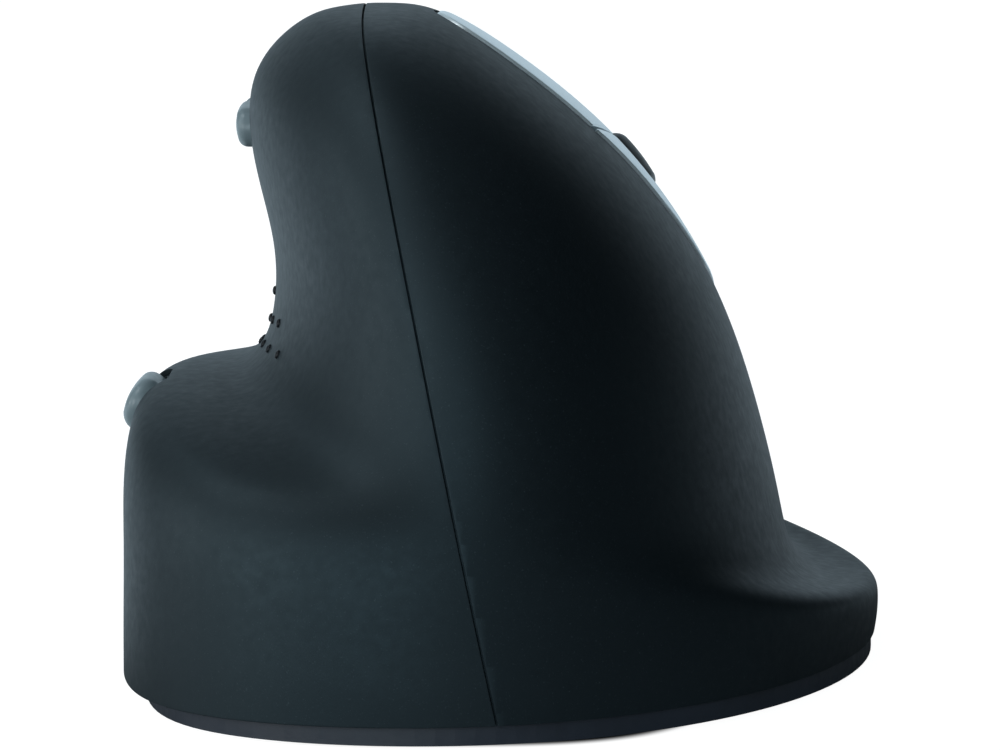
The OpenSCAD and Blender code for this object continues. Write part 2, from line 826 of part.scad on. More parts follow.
module rocker(beam, knuckle) {
    level = [rocker_n - rocker_t, rocker_n];
    in_finger()
    difference() {
        union() {
            block(beam, [shoulder_v[0], beam_front], level);
            block([min(beam[0], knuckle[0]), knuckle[1]], shoulder_v, level);
            block(knuckle, [hinge_v - knuckle_r / 2, shoulder_v[1]], level);
            block(knuckle, span(hinge_v, knuckle_r), [hinge_n, rocker_n]);
            rod(knuckle, hinge_v, hinge_n, knuckle_r);
            block(span(mid(beam), plunger_d), span(switch_v, plunger_d), [foot_n, rocker_n]);
        }
        rod(grown(knuckle, weld), hinge_v, hinge_n, pin_d / 2 + running_fit);
    }
}

module upper_button() color(silver) finger_button([-far, -button_gap / 2], upper_beam);
module lower_button() color(silver) finger_button([button_gap / 2, far], lower_beam);
module upper_rocker() color(plastic) rocker(upper_beam, upper_knuckle);
module lower_rocker() color(plastic) rocker(lower_beam, lower_knuckle);

// Scroll wheel in a cradle that tips down for the middle click
arm_r = 2.3;
arm_head = 3.4;

module cradle_arm(u) {
    translate([u, 0, 0])
    rotate([90, 0, 90])
    linear_extrude(arm_t)
    polygon([
        [pivot_v - arm_r, pivot_n - arm_r], [bar_v + bar_w / 2, bar_n - bar_w / 2],
        [bar_v + bar_w / 2, bar_n + bar_w / 2], [arm_head, wheel_n + arm_head],
        [-arm_head, wheel_n + arm_head], [pivot_v - arm_r, pivot_n + arm_r]
    ]);
}

module wheel_cradle() {
    color(plastic)
    in_finger()
    difference() {
        union() {
            cradle_arm(cradle_u[0]);
            cradle_arm(cradle_u[1] - arm_t);
            rod(cradle_u, pivot_v, pivot_n, arm_r);
            block(cradle_u, span(bar_v, bar_w), span(bar_n, bar_w));
            translate([wheel_shift, bar_v, finger_board_n + tact_h - click_reach])
            cylinder(d = click_pin_d, h = bar_n - finger_board_n - tact_h + click_reach);
        }
        rod(grown(cradle_u, weld), pivot_v, pivot_n, pin_d / 2 + running_fit);
        rod(grown(cradle_u, weld), 0, wheel_n, axle_d / 2 + running_fit);
    }
}

encoder_h = 10;
axle_end = 0.8;

module wheel_encoder() {
    color(plastic)
    in_finger()
    difference() {
        block(encoder_u, span(0, encoder_h), span(wheel_n, encoder_h));
        rod(grown(encoder_u, weld), 0, wheel_n, axle_d / 2 + running_fit);
    }
}

module at_wheel() {
    in_finger()
    translate([wheel_shift, 0, wheel_n])
    rotate([0, 90, 0])
    children();
}

hub_r = wheel_d / 2 - tyre_t;
hub_edge = 0.4;
hub_w = wheel_w - 2 * hub_edge;
hub_rim = 1.6;
hub_boss = 2;
hub_web = 2;

module wheel_hub() {
    color(key_grey)
    at_wheel()
    difference() {
        cylinder(r = hub_r, h = hub_w, center = true);
        cylinder(d = axle_d, h = far, center = true);
        for (side = [-1, 1]) {
            translate([0, 0, side * (hub_w + hub_web) / 2])
            difference() {
                cylinder(r = hub_r - hub_rim, h = hub_w, center = true);
                cylinder(r = axle_d / 2 + hub_boss, h = far, center = true);
            }
        }
    }
}

tyre_r = 1.6;

module wheel_tyre() {
    color(rubber)
    at_wheel()
    rotate_extrude() {
        translate([hub_r, -wheel_w / 2]) square([tyre_t - tyre_r, wheel_w]);
        translate([hub_r, -wheel_w / 2 + tyre_r]) square([tyre_t, wheel_w - 2 * tyre_r]);
        for (side = [-1, 1]) {
            translate([wheel_d / 2 - tyre_r, side * (wheel_w / 2 - tyre_r)])
            circle(r = tyre_r);
        }
    }
}

module wheel_axle() {
    color(steel)
    in_finger()
    rod([encoder_u[0] + axle_end, cradle_u[1]], 0, wheel_n, axle_d / 2);
}

// Thumb buttons: caps through the wall above the thumb channel, pressed straight across
pad_t = 1.6;
thumb_board_x = mast_x[0] - pad_t;
thumb_face_x = thumb_board_x - board_t - tact_h;
cap_tail = 1.4;
cap_depth = wall + cap_tail;
// The holes go on past the pressed caps, through the slant of the wall
hole_tail = 2;
hole_depth = cap_depth + side_press + hole_tail;

module thumb_cap(at, grow, depth) {
    translate([at[0] - far, at[1], at[2]])
    rotate([0, 90, 0])
    capsule(thumb_l + 2 * grow, thumb_h + 2 * grow, far + depth);
}

module thumb_button(at) {
    resize([0, 0, 0])
    union() {
        intersection() {
            thumb_cap(at, 0, cap_depth);
            body(-thumb_rise);
        }
        translate([0, at[1], at[2]])
        rod([at[0] + cap_depth - weld, thumb_face_x + stem_reach], 0, 0, stem_d / 2);
    }
}

module back_button() color(key_grey) thumb_button(back_at);
module forward_button() color(key_grey) thumb_button(forward_at);

module thumb_switch(at) {
    translate([thumb_board_x - board_t, at[1], at[2]])
    rotate([0, -90, 0])
    side_tact();
}

module back_switch() color(plastic) thumb_switch(back_at);
module forward_switch() color(plastic) thumb_switch(forward_at);

module thumb_board() {
    color(board_green)
    block([thumb_board_x - board_t, thumb_board_x], thumb_board_y, span(thumb_z, thumb_board_h));
}

// Ledge button: an oval on the rounded edge of the thumb ledge, pressed down the diagonal
ledge_spot = [3.9, 3.5];
ledge_at = skin(ledge_spot[0], ledge_spot[1]);
ledge_lean = 52;
ledge_face = -7.4;
ledge_board_w = 8;
ledge_board_l = 12;
ledge_board_n = ledge_face - tact_h - board_t;
pedestal_w = 6;

module in_ledge() {
    translate(ledge_at)
    rotate([0, -ledge_lean, 0])
    children();
}

module ledge_cap(grow, depth) {
    in_ledge()
    translate([0, 0, -depth])
    capsule(ledge_l + 2 * grow, ledge_w + 2 * grow, far);
}

// Shallow pocket round the ledge button, which leaves a small lip on the ledge
pocket_w = 1.3;
pocket_depth = 0.8;

module ledge_pocket() {
    difference() {
        ledge_cap(pocket_w, cap_depth);
        body(pocket_depth);
    }
}

module ledge_button() {
    color(key_grey)
    resize([0, 0, 0])
    union() {
        intersection() {
            ledge_cap(0, cap_depth);
            body(-ledge_rise);
        }
        in_ledge()
        translate([0, 0, ledge_face - stem_reach])
        cylinder(d = stem_d, h = -ledge_face + stem_reach - cap_depth + weld);
    }
}

module ledge_switch() {
    color(plastic)
    in_ledge()
    translate([0, 0, ledge_board_n + board_t])
    side_tact();
}

module ledge_board() {
    color(board_green)
    in_ledge()
    block(span(0, ledge_board_w), span(0, ledge_board_l), [ledge_board_n, ledge_board_n + board_t]);
}

module along_cell(y) {
    translate([cell_x, y, cell_z])
    rotate([-90, 0, 0])
    children();
}

// Block with a round top along the cell, low at its foot
module vault(x, y, low) {
    block(x, y, [low, cell_z]);
    intersection() {
        along_cell(y[0]) cylinder(d = x[1] - x[0], h = y[1] - y[0]);
        block(x, y, [low, far]);
    }
}

// A post on the tray carries the board of the ledge button
post_at = ledge_at + ledge_board_n * [-sin(ledge_lean), 0, cos(ledge_lean)];

module battery_tray() {
    color(plastic)
    difference() {
        union() {
            vault(tray_x, tray_y, rim_z);
            block(
                [tray_x[0] + tray_flange, tray_x[1]],
                grown(tray_y, tray_flange),
                [rim_z, rim_z + tray_flange_t]
            );
            intersection() {
                in_ledge() block([-far, far], [-far, far], [-far, ledge_board_n]);
                block(span(post_at[0], pedestal_w), span(post_at[1], pedestal_w), [cell_z, far]);
            }
        }
        vault(grown(tray_x, -tray_t), grown(tray_y, -tray_t), 0);
    }
}

module battery_cell() {
    rear = tray_y[0] + tray_t + spring_l;
    color(steel) {
        along_cell(rear) cylinder(d = battery_d, h = battery_l - cell_button_l);
        along_cell(rear) cylinder(d = cell_button_d, h = battery_l);
    }
}

module battery_spring() {
    color(steel)
    along_cell(tray_y[0] + tray_t)
    cylinder(d = spring_d, h = spring_l);
}

module battery_contact() {
    color(steel)
    along_cell(tray_y[1] - tray_t - contact_t)
    block(span(0, spring_d), span(0, spring_d), [0, contact_t]);
}

// Battery door: a tongued panel of the base that slides out to the left
tongue_w = 1.2;
door_gap = 0.15;
door_x = tray_x[1] - tray_t;
door_y = grown(tray_y, -tray_t);
door_step_z = foot_t + base_t / 2;
door_z = [foot_t, rim_z - door_gap];

module battery_door() {
    color(plastic)
    intersection() {
        linear_extrude(rim_z) base_outline();
        union() {
            block([-far, door_x - door_gap], grown(door_y, -door_gap), door_z);
            block(
                [-far, door_x - door_gap],
                grown(door_y, tongue_w - door_gap),
                [door_step_z + door_gap, door_z[1]]
            );
        }
    }
}

// Main board on the base plate, with the sensor, its lens and the power switch
board_edge = 3;
board_screw_d = 1.8;
board_head_d = 3.6;
board_head_t = 1.2;
board_x = [tray_x[1] + slide_gap + board_t, tray_x[1] + slide_gap + board_t + board_w];
board_y = [leg_tops[0][1] - leg_w / 2 - board_t - board_l, leg_tops[0][1] - leg_w / 2 - board_t];
board_corners = [for (x = grown(board_x, -board_edge), y = grown(board_y, -board_edge)) [x, y]];
window_d = 6.4;
sensor_at = [mid(board_x), mid(board_y)];
sensor_w = 10;
sensor_l = 12;
sensor_h = 3.2;
lens_d = 6;
lens_foot_t = 1.4;
aperture_d = 4;

module main_board() {
    color(board_green)
    difference() {
        block(board_x, board_y, [board_z, board_z + board_t]);
        for (p = board_corners) translate([p[0], p[1], 0]) cylinder(d = board_screw_d, h = far);
        translate([sensor_at[0], sensor_at[1], 0]) cylinder(d = aperture_d, h = far);
    }
}

module optical_sensor() {
    color(plastic)
    translate([sensor_at[0], sensor_at[1], board_z + board_t])
    block(span(0, sensor_w), span(0, sensor_l), [0, sensor_h]);
}

module sensor_lens() {
    color(white_slip) {
        block(span(sensor_at[0], sensor_w), span(sensor_at[1], sensor_l), [rim_z, rim_z + lens_foot_t]);
        translate([sensor_at[0], sensor_at[1], rim_z]) cylinder(d = lens_d, h = standoff_h);
    }
}

// Power slider in the base, held by a flange above it, and the switch that it works
slider_lift = 0.15;
flange_w = 1;
flange_t = 1;
slider_stem = 1.6;
slider_stem_h = 1.2;
switch_gap = 0.4;
slider_side = sensor_w / 2 + switch_gap + flange_w + slider_w / 2;
slider_at = [sensor_at[0] + slider_side, sensor_at[1] - slider_throw / 2];

module power_slider() {
    flange_z = rim_z + slider_lift;
    color(key_grey)
    translate([slider_at[0], slider_at[1], 0]) {
        block(span(0, slider_w), span(0, slider_l), [foot_t + slider_lift, flange_z + weld]);
        block(span(0, slider_w + 2 * flange_w), span(0, slider_l), [flange_z, flange_z + flange_t]);
        block(span(0, slider_stem), span(0, slider_stem), [flange_z, flange_z + flange_t + slider_stem_h]);
    }
}

module power_switch() {
    low = rim_z + slider_lift + flange_t + switch_gap;
    track = grown([0, slider_throw], slider_stem / 2 + slide_gap);
    color(plastic)
    translate([slider_at[0], slider_at[1], 0])
    difference() {
        block(span(0, slider_w + flange_w), grown(track, flange_w), [low, board_z]);
        block(span(0, slider_stem + 2 * slide_gap), track, [0, low + slider_stem_h]);
    }
}

// Screws: those from below join the shells and the frame to the base, small ones hold the board
module base_screw(at) {
    translate([at[0], at[1], foot_t]) cylinder(d = screw_head_d, h = screw_head_t);
    translate([at[0], at[1], foot_t]) cylinder(d = screw_d, h = base_t + pilot_h);
}

module shell_screws() {
    color(steel)
    for (p = concat(thumb_bosses, palm_bosses)) base_screw(p);
}

module frame_screws() {
    color(steel)
    for (p = leg_feet) base_screw(p);
}

module board_screws() {
    color(steel)
    for (p = board_corners) {
        translate([p[0], p[1], board_z + board_t]) cylinder(d = board_head_d, h = board_head_t);
        translate([p[0], p[1], rim_z]) cylinder(d = board_screw_d, h = standoff_h + board_t + weld);
    }
}

thumb_shell();
palm_shell();
base_plate();
glide_feet();
grip_dots();
inner_frame();
hinge_pin();
cradle_pin();
finger_board();
upper_switch();
lower_switch();
wheel_switch();
thumb_board();
back_switch();
forward_switch();
ledge_board();
ledge_switch();
main_board();
optical_sensor();
sensor_lens();
power_switch();
battery_tray();
battery_cell();
battery_spring();
battery_contact();
shell_screws();
frame_screws();
board_screws();
upper_button();
upper_rocker();
upper_plunger();
lower_button();
lower_rocker();
lower_plunger();
wheel_cradle();
wheel_encoder();
wheel_hub();
wheel_tyre();
wheel_axle();
back_button();
forward_button();
ledge_button();
power_slider();
battery_door();
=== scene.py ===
import json
import math

import bmesh
import bpy
import numpy as np
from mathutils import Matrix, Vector
from mathutils.bvhtree import BVHTree
from mathutils.geometry import delaunay_2d_cdt


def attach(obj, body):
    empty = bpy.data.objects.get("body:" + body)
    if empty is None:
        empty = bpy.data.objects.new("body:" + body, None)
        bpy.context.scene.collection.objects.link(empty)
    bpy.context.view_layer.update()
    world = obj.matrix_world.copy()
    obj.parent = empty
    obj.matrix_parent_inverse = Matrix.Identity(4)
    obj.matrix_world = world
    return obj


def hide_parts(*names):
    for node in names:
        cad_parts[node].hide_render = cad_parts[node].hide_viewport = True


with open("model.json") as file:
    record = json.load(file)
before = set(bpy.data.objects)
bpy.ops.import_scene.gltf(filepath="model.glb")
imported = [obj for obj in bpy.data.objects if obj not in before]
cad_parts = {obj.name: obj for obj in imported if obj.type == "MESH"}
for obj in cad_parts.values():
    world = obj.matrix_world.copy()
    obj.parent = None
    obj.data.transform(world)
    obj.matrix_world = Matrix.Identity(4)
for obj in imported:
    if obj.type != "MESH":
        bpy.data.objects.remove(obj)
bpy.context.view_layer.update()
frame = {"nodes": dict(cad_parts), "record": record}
nodes = frame["nodes"]

# Sizes of the part, in millimetres, and the scale to metres
MM = 0.001
BODY_H = 72.5
RIM_Z = 2.8
REF_H = 72.0
REF_RIM = 2.2
MIDDLE = (-0.36, -0.39)
SEAM_LEAN = 11.9
SEAM_FOOT = -0.3
SEAM_GAP = 0.2
BUTTON_GAP = 0.45
BUTTON_RISE = 0.3
PANEL_R = 6.0
PANEL_FRONT_R = 13.0
FINGER_TILT = 38.0
FINGER_TURN = 14.0
FINGER_PITCH = 12.0
WHEEL_D = 22.0
WHEEL_W = 7.6
WHEEL_RISE = 1.5
WHEEL_SHIFT = 2.3
WHEEL_SIDE = 0.5
TYRE_T = 2.6
THUMB_L = 11.0
THUMB_H = 4.4
THUMB_RISE = 1.5
LEDGE_L = 11.0
LEDGE_W = 5.8
LEDGE_RISE = 1.5
LEDGE_LEAN = 52.0
SLIDE_GAP = 0.3
DOT_D = 1.0
DOT_PITCH = 8.0
DOT_ROW = 3.4
DOT_RISE = 0.35

# Control points of the skin, from the rim to the crown
LEFT_RAIL = [
    (-39.7, 2.2), (-39.7, 9), (-39.6, 18), (-39.9, 28.4), (-37.6, 36.8), (-26.6, 33), (-24.5, 39.2),
    (-24.6, 47), (-27.5, 55.5), (-28.2, 66), (-21.4, 72), (-17, 72), (-12.5, 72),
]
RIGHT_RAIL = [
    (42, 2.2), (42.3, 3.6), (42.5, 5.6), (42.4, 7.3), (39.4, 6.7), (32.2, 6.75), (30.6, 14.4),
    (28, 25), (23.5, 39.5), (13.6, 55.5), (0.2, 66.8), (-7.5, 72), (-12.5, 72),
]
REAR_RAIL = [
    (-56.2, 2.2), (-56.4, 5.5), (-56.2, 9.5), (-55.8, 14), (-55, 19), (-53.9, 25), (-52, 32.5),
    (-49, 42), (-44, 52.5), (-36.5, 62.4), (-26, 70), (-15, 72), (-4, 72),
]
FRONT_RAIL = [
    (49.5, 2.2), (52, 5.5), (54, 9.2), (55.4, 13.2), (56.2, 17.4), (56.4, 21.6), (56, 26.5),
    (54.2, 33), (49, 41), (40, 51.4), (25, 64.2), (9, 72), (-4, 72),
]
SPINE_X = [-1, -1, -1, -1, -1, -2, -3, -4, -6, -9, -12, -12.5, -12.5]
LEFT_Y = [-27, -27, -26, -23, -17, -8, 0, 4, 5, 4, 0, -3, -4]
RIGHT_Y = [-2, -2, -2, -2, -2, -1, 0, 0, 0, -1, -2, -4, -4]
REAR_LEFT_FULL = [0.8, 0.8, 0.8, 0.8, 0.79, 0.75, 0.72] + [0.7] * 6
REAR_RIGHT_FULL = [0.66, 0.66, 0.66, 0.66, 0.68, 0.7, 0.71, 0.71, 0.71, 0.7, 0.7, 0.7, 0.7]
FRONT_RIGHT_FULL = [0.74, 0.74, 0.73, 0.71, 0.72, 0.78, 0.83, 0.85, 0.86, 0.86, 0.84, 0.8, 0.76]
FRONT_LEFT_FULL = [0.78] * 13
CORNER_LIFT = 0.5
LIP_LIFT = 0.9
TOP = len(LEFT_RAIL) - 1
RING = 8
REACH = 6 / (4 + 2 * math.cos(2 * math.pi / RING))
PROBE = 0.05


def placed(rail, middle):
    """A rail with its heights stretched to the body's height and its middle over the origin."""
    grow = (BODY_H - RIM_Z) / (REF_H - REF_RIM)
    return np.array([(p[0] + middle, RIM_Z + (p[1] - REF_RIM) * grow) for p in rail])


LEFT_SIDE = placed(LEFT_RAIL, MIDDLE[0])
RIGHT_SIDE = placed(RIGHT_RAIL, MIDDLE[0])
REAR_SIDE = placed(REAR_RAIL, MIDDLE[1])
FRONT_SIDE = placed(FRONT_RAIL, MIDDLE[1])


def moved(rail, turn, inset):
    """A rail moved inward; turn is 1 on the left and rear and -1 on the right and front."""
    way = np.vstack([rail[1:], rail[-1:]]) - np.vstack([rail[:1], rail[:-1]])
    way /= np.linalg.norm(way, axis=1)[:, None]
    way[0] = (0, 1)
    return rail + inset * turn * np.stack([way[:, 1], -way[:, 0]], 1)


def corner(middle, side, end, full, lift):
    return np.array([
        middle[0] + (side[0] - middle[0]) * full,
        middle[1] + (end[1] - middle[1]) * full + (side[1] - middle[1]) * (1 - full),
        side[2] * lift + end[2] * (1 - lift),
    ])


def control_net(inset):
    left, right = moved(LEFT_SIDE, 1, inset), moved(RIGHT_SIDE, -1, inset)
    rear, front = moved(REAR_SIDE, 1, inset), moved(FRONT_SIDE, -1, inset)
    rings = []
    for k in range(TOP + 1):
        left_y, right_y = LEFT_Y[k] + MIDDLE[1], RIGHT_Y[k] + MIDDLE[1]
        mid = (SPINE_X[k] + MIDDLE[0], (left_y + right_y) / 2)
        l = np.array([mid[0] + (left[k][0] - mid[0]) * REACH, left_y, left[k][1]])
        r = np.array([mid[0] + (right[k][0] - mid[0]) * REACH, right_y, right[k][1]])
        s = np.array([mid[0], mid[1] + (rear[k][0] - mid[1]) * REACH, rear[k][1]])
        f = np.array([mid[0], mid[1] + (front[k][0] - mid[1]) * REACH, front[k][1]])
        rings.append([
            r, corner(mid, r, f, FRONT_RIGHT_FULL[k], LIP_LIFT),
            f, corner(mid, l, f, FRONT_LEFT_FULL[k], CORNER_LIFT),
            l, corner(mid, l, s, REAR_LEFT_FULL[k], CORNER_LIFT),
            s, corner(mid, r, s, REAR_RIGHT_FULL[k], CORNER_LIFT),
        ])
    net = np.array(rings)
    return np.concatenate([[2 * net[0] - net[1]], net, [2 * net[-1] - net[-2]]])


NETS = {}


def weights(t):
    """Weights of four neighbours in a cubic spline."""
    first, second = (1 - t) ** 3, 3 * t ** 3 - 6 * t ** 2 + 4
    third, last = 3 * (t + t ** 2 - t ** 3) + 1, t ** 3
    return np.stack([first, second, third, last], -1) / 6


def skin(turn, level, inset=0.0):
    """Points of the skin, or inside it by inset, at turns round the body and levels up it."""
    if inset not in NETS:
        NETS[inset] = control_net(inset)
    net = NETS[inset]
    turn, level = np.broadcast_arrays(np.asarray(turn, float), np.asarray(level, float))
    k = np.minimum(np.floor(level).astype(int), TOP - 1)
    m = np.floor(turn).astype(int)
    up, across = weights(level - k), weights(turn - m)
    out = np.zeros(turn.shape + (3,))
    for a in range(4):
        for b in range(4):
            out += (up[..., a] * across[..., b])[..., None] * net[k + a, (m + b - 1) % RING]
    return out


def skin_out(turn, level):
    across = skin(turn + PROBE, level) - skin(turn - PROBE, level)
    up = skin(turn, level + PROBE) - skin(turn, level - PROBE)
    out = np.cross(across, up)
    return out / np.linalg.norm(out)


def unit(v):
    return np.asarray(v, float) / np.linalg.norm(v)


# Materials. Object coordinates are metres in the part's own frame, so scales are per metre.
class Shader:
    """A material under construction: one principled shader and the nodes that feed it."""

    def __init__(self, name):
        self.material = bpy.data.materials.new(name)
        self.material.use_nodes = True
        self.tree = self.material.node_tree
        self.shader = self.tree.nodes["Principled BSDF"]
        self.place = self.tree.nodes.new("ShaderNodeTexCoord").outputs["Object"]

    def link(self, source, target):
        self.tree.links.new(source, target)

    def set(self, **values):
        for key, value in values.items():
            self.shader.inputs[key.replace("_", " ")].default_value = value

    def stretched(self, scale):
        node = self.tree.nodes.new("ShaderNodeMapping")
        node.inputs["Scale"].default_value = scale
        self.link(self.place, node.inputs["Vector"])
        return node.outputs["Vector"]

    def noise(self, scale, detail=2.0, rough=0.5, vector=None):
        node = self.tree.nodes.new("ShaderNodeTexNoise")
        node.inputs["Scale"].default_value = scale
        node.inputs["Detail"].default_value = detail
        node.inputs["Roughness"].default_value = rough
        self.link(vector or self.place, node.inputs["Vector"])
        return node.outputs["Fac"]

    def cells(self, scale):
        node = self.tree.nodes.new("ShaderNodeTexVoronoi")
        node.inputs["Scale"].default_value = scale
        self.link(self.place, node.inputs["Vector"])
        return node.outputs["Distance"]

    def mapped(self, source, low, high, to_low, to_high):
        node = self.tree.nodes.new("ShaderNodeMapRange")
        for key, value in (("From Min", low), ("From Max", high), ("To Min", to_low), ("To Max", to_high)):
            node.inputs[key].default_value = value
        self.link(source, node.inputs["Value"])
        return node.outputs["Result"]

    def mixed(self, factor, first, second):
        """Colour mix; first and second are colours or sockets."""
        node = self.tree.nodes.new("ShaderNodeMix")
        node.data_type = "RGBA"
        self.link(factor, node.inputs["Factor"])
        for socket, value in ((node.inputs[6], first), (node.inputs[7], second)):
            if isinstance(value, tuple):
                socket.default_value = (*value, 1.0)
            else:
                self.link(value, socket)
        return node.outputs[2]

    def edges(self, low=0.51, high=0.6):
        """1 on convex edges, 0 elsewhere."""
        geometry = self.tree.nodes.new("ShaderNodeNewGeometry")
        return self.mapped(geometry.outputs["Pointiness"], low, high, 0.0, 1.0)

    def colour(self, source):
        self.link(source, self.shader.inputs["Base Color"])

    def roughness(self, source):
        self.link(source, self.shader.inputs["Roughness"])

    def bump(self, height, distance, strength=1.0, under=None):
        node = self.tree.nodes.new("ShaderNodeBump")
        node.inputs["Strength"].default_value = strength
        node.inputs["Distance"].default_value = distance
        self.link(height, node.inputs["Height"])
        if under is not None:
            self.link(under, node.inputs["Normal"])
        self.link(node.outputs["Normal"], self.shader.inputs["Normal"])
        return node.outputs["Normal"]


def tinted(colour, by):
    return tuple(min(1.0, c * by) for c in colour)


def soft_touch(name, colour, fleck, rough):
    """Soft-touch coat: a fine speckle, slow drifts of tone and a pebbled surface."""
    s = Shader(name)
    drift = s.mapped(s.noise(55, 3), 0.3, 0.7, 0.0, 1.0)
    tone = s.mixed(drift, tinted(colour, 0.9), tinted(colour, 1.1))
    speck = s.mapped(s.noise(5200, 1), 0.66, 0.78, 0.0, 0.22)
    tone = s.mixed(speck, tone, fleck)
    worn = s.mapped(s.edges(), 0.0, 1.0, 0.0, 0.12)
    s.colour(s.mixed(worn, tone, fleck))
    s.roughness(s.mapped(s.noise(900, 3), 0.25, 0.75, rough - 0.05, rough + 0.05))
    pebble = s.bump(s.noise(3600, 2), 0.00002, 0.35)
    s.bump(s.noise(180, 2), 0.00004, 0.25, pebble)
    s.set(Specular_IOR_Level=0.36, Specular_Tint=(0.6, 0.87, 1.0, 1.0))
    return s.material


def silver_paint(name, colour):
    """Satin metallic paint with fine flakes."""
    s = Shader(name)
    flake = s.cells(7200)
    tone = s.mixed(s.mapped(flake, 0.1, 0.7, 0.0, 1.0), tinted(colour, 1.08), tinted(colour, 0.88))
    drift = s.mapped(s.noise(70, 2), 0.3, 0.7, 0.0, 0.15)
    tone = s.mixed(drift, tone, tinted(colour, 0.85))
    worn = s.mapped(s.edges(), 0.0, 1.0, 0.0, 0.15)
    s.colour(s.mixed(worn, tone, tinted(colour, 1.2)))
    s.roughness(s.mapped(s.noise(2500, 2), 0.25, 0.75, 0.3, 0.4))
    s.bump(flake, 0.000008, 0.4)
    s.set(Metallic=0.5, Coat_Weight=0.35, Coat_Roughness=0.25)
    return s.material


def gloss_key(name, colour):
    """Polished key plastic with faint moulding waves and handling marks."""
    s = Shader(name)
    drift = s.mapped(s.noise(260, 3), 0.3, 0.7, 0.0, 1.0)
    tone = s.mixed(drift, tinted(colour, 0.88), tinted(colour, 1.12))
    worn = s.mapped(s.edges(), 0.0, 1.0, 0.0, 0.35)
    s.colour(s.mixed(worn, tone, tinted(colour, 1.6)))
    s.roughness(s.mapped(s.noise(1400, 4), 0.3, 0.7, 0.34, 0.44))
    s.bump(s.noise(420, 2), 0.00001, 0.25)
    s.set(Specular_IOR_Level=0.35, Coat_Weight=0.1, Coat_Roughness=0.25)
    return s.material


def moulded(name, colour, rough, grain=2200, depth=0.00002, metallic=0.0, gloss=0.5):
    """Moulded or cast surface with an even grain, tone drift and lighter worn edges."""
    s = Shader(name)
    drift = s.mapped(s.noise(120, 3), 0.3, 0.7, 0.0, 1.0)
    tone = s.mixed(drift, tinted(colour, 0.85), tinted(colour, 1.15))
    worn = s.mapped(s.edges(), 0.0, 1.0, 0.0, 0.4)
    s.colour(s.mixed(worn, tone, tinted(colour, 1.7)))
    s.roughness(s.mapped(s.noise(grain * 0.4, 3), 0.25, 0.75, rough - 0.07, rough + 0.07))
    s.bump(s.noise(grain, 2), depth, 0.4)
    s.set(Metallic=metallic, Specular_IOR_Level=gloss)
    return s.material


def brushed(name, colour, rough):
    """Drawn steel with fine lines along its length."""
    s = Shader(name)
    lines = s.noise(900, 4, 0.6, s.stretched((1.0, 0.06, 1.0)))
    s.colour(s.mixed(lines, tinted(colour, 0.8), tinted(colour, 1.1)))
    s.roughness(s.mapped(lines, 0.3, 0.7, rough - 0.06, rough + 0.1))
    s.bump(lines, 0.000008, 0.3)
    s.set(Metallic=1.0)
    return s.material


def circuit(name, colour):
    """Solder mask over faint copper tracks."""
    s = Shader(name)
    node = s.tree.nodes.new("ShaderNodeTexBrick")
    node.inputs["Scale"].default_value = 260
    node.inputs["Mortar Size"].default_value = 0.03
    s.link(s.place, node.inputs["Vector"])
    tracks = s.mapped(node.outputs["Fac"], 0.0, 1.0, 0.0, 0.6)
    drift = s.mapped(s.noise(300, 2), 0.3, 0.7, 0.0, 1.0)
    tone = s.mixed(drift, tinted(colour, 0.85), tinted(colour, 1.15))
    s.colour(s.mixed(tracks, tone, tinted(colour, 1.7)))
    s.roughness(s.mapped(s.noise(900, 2), 0.3, 0.7, 0.28, 0.4))
    s.bump(tracks, 0.00003, 0.5)
    return s.material


def clear_lens(name, colour):
    """Clear moulded plastic with slight flow lines."""
    s = Shader(name)
    flow = s.noise(700, 2)
    s.colour(s.mixed(flow, tinted(colour, 0.95), tinted(colour, 1.05)))
    s.roughness(s.mapped(flow, 0.3, 0.7, 0.05, 0.14))
    s.bump(flow, 0.00001, 0.2)
    s.set(Transmission_Weight=0.85, IOR=1.49)
    return s.material


# The palm coat is a darker copy of the thumb coat: painted shade on the palm half
SHELL = soft_touch("thumb_soft_touch", (0.0085, 0.0112, 0.013), (0.07, 0.09, 0.1), 0.55)
PALM_SHADED = soft_touch("palm_soft_touch", (0.0065, 0.009, 0.0108), (0.07, 0.09, 0.1), 0.54)
SILVER = silver_paint("silver_paint", (0.84, 0.92, 0.96))
KEY = gloss_key("gloss_key", (0.15, 0.19, 0.205))
RUBBER = moulded("black_rubber", (0.006, 0.007, 0.009), 0.42, 1800, 0.00003, gloss=0.2)
BASE = moulded("base_plastic", (0.012, 0.016, 0.024), 0.45, 1500, 0.00003)
INNER = moulded("inner_plastic", (0.014, 0.015, 0.019), 0.5)
SWITCH = moulded("switch_plastic", (0.01, 0.01, 0.013), 0.4)
SLIP = moulded("slip_plastic", (0.62, 0.64, 0.65), 0.35, 900, 0.000015)
CELL = moulded("cell_jacket", (0.36, 0.38, 0.41), 0.3, 700, 0.000008, 0.7)
STEEL = brushed("steel", (0.56, 0.57, 0.6), 0.3)
BOARD = circuit("circuit_board", (0.012, 0.085, 0.045))
LENS = clear_lens("clear_lens", (0.9, 0.93, 0.95))

SLOT_MATERIALS = {
    "shell_soft_touch": SHELL, "palm_soft_touch": PALM_SHADED, "silver_panel": SILVER, "gloss_key": KEY,
    "black_rubber": RUBBER, "base_plastic": BASE, "inner_plastic": INNER, "switch_plastic": SWITCH,
    "slip_plastic": SLIP, "cell_jacket": CELL, "steel": STEEL, "circuit_board": BOARD, "clear_lens": LENS,
}
node_slots = {row["node"]: row["material_slot"] for row in frame["record"]["subparts"]}
for node_name, node_object in nodes.items():
    node_object.data.materials.clear()
    node_object.data.materials.append(SLOT_MATERIALS[node_slots[node_name]])


# Angles above which an edge stays sharp, in degrees
PLAIN_EDGE = 38.0
CAP_EDGE = 50.0
SHELL_EDGE = 60.0


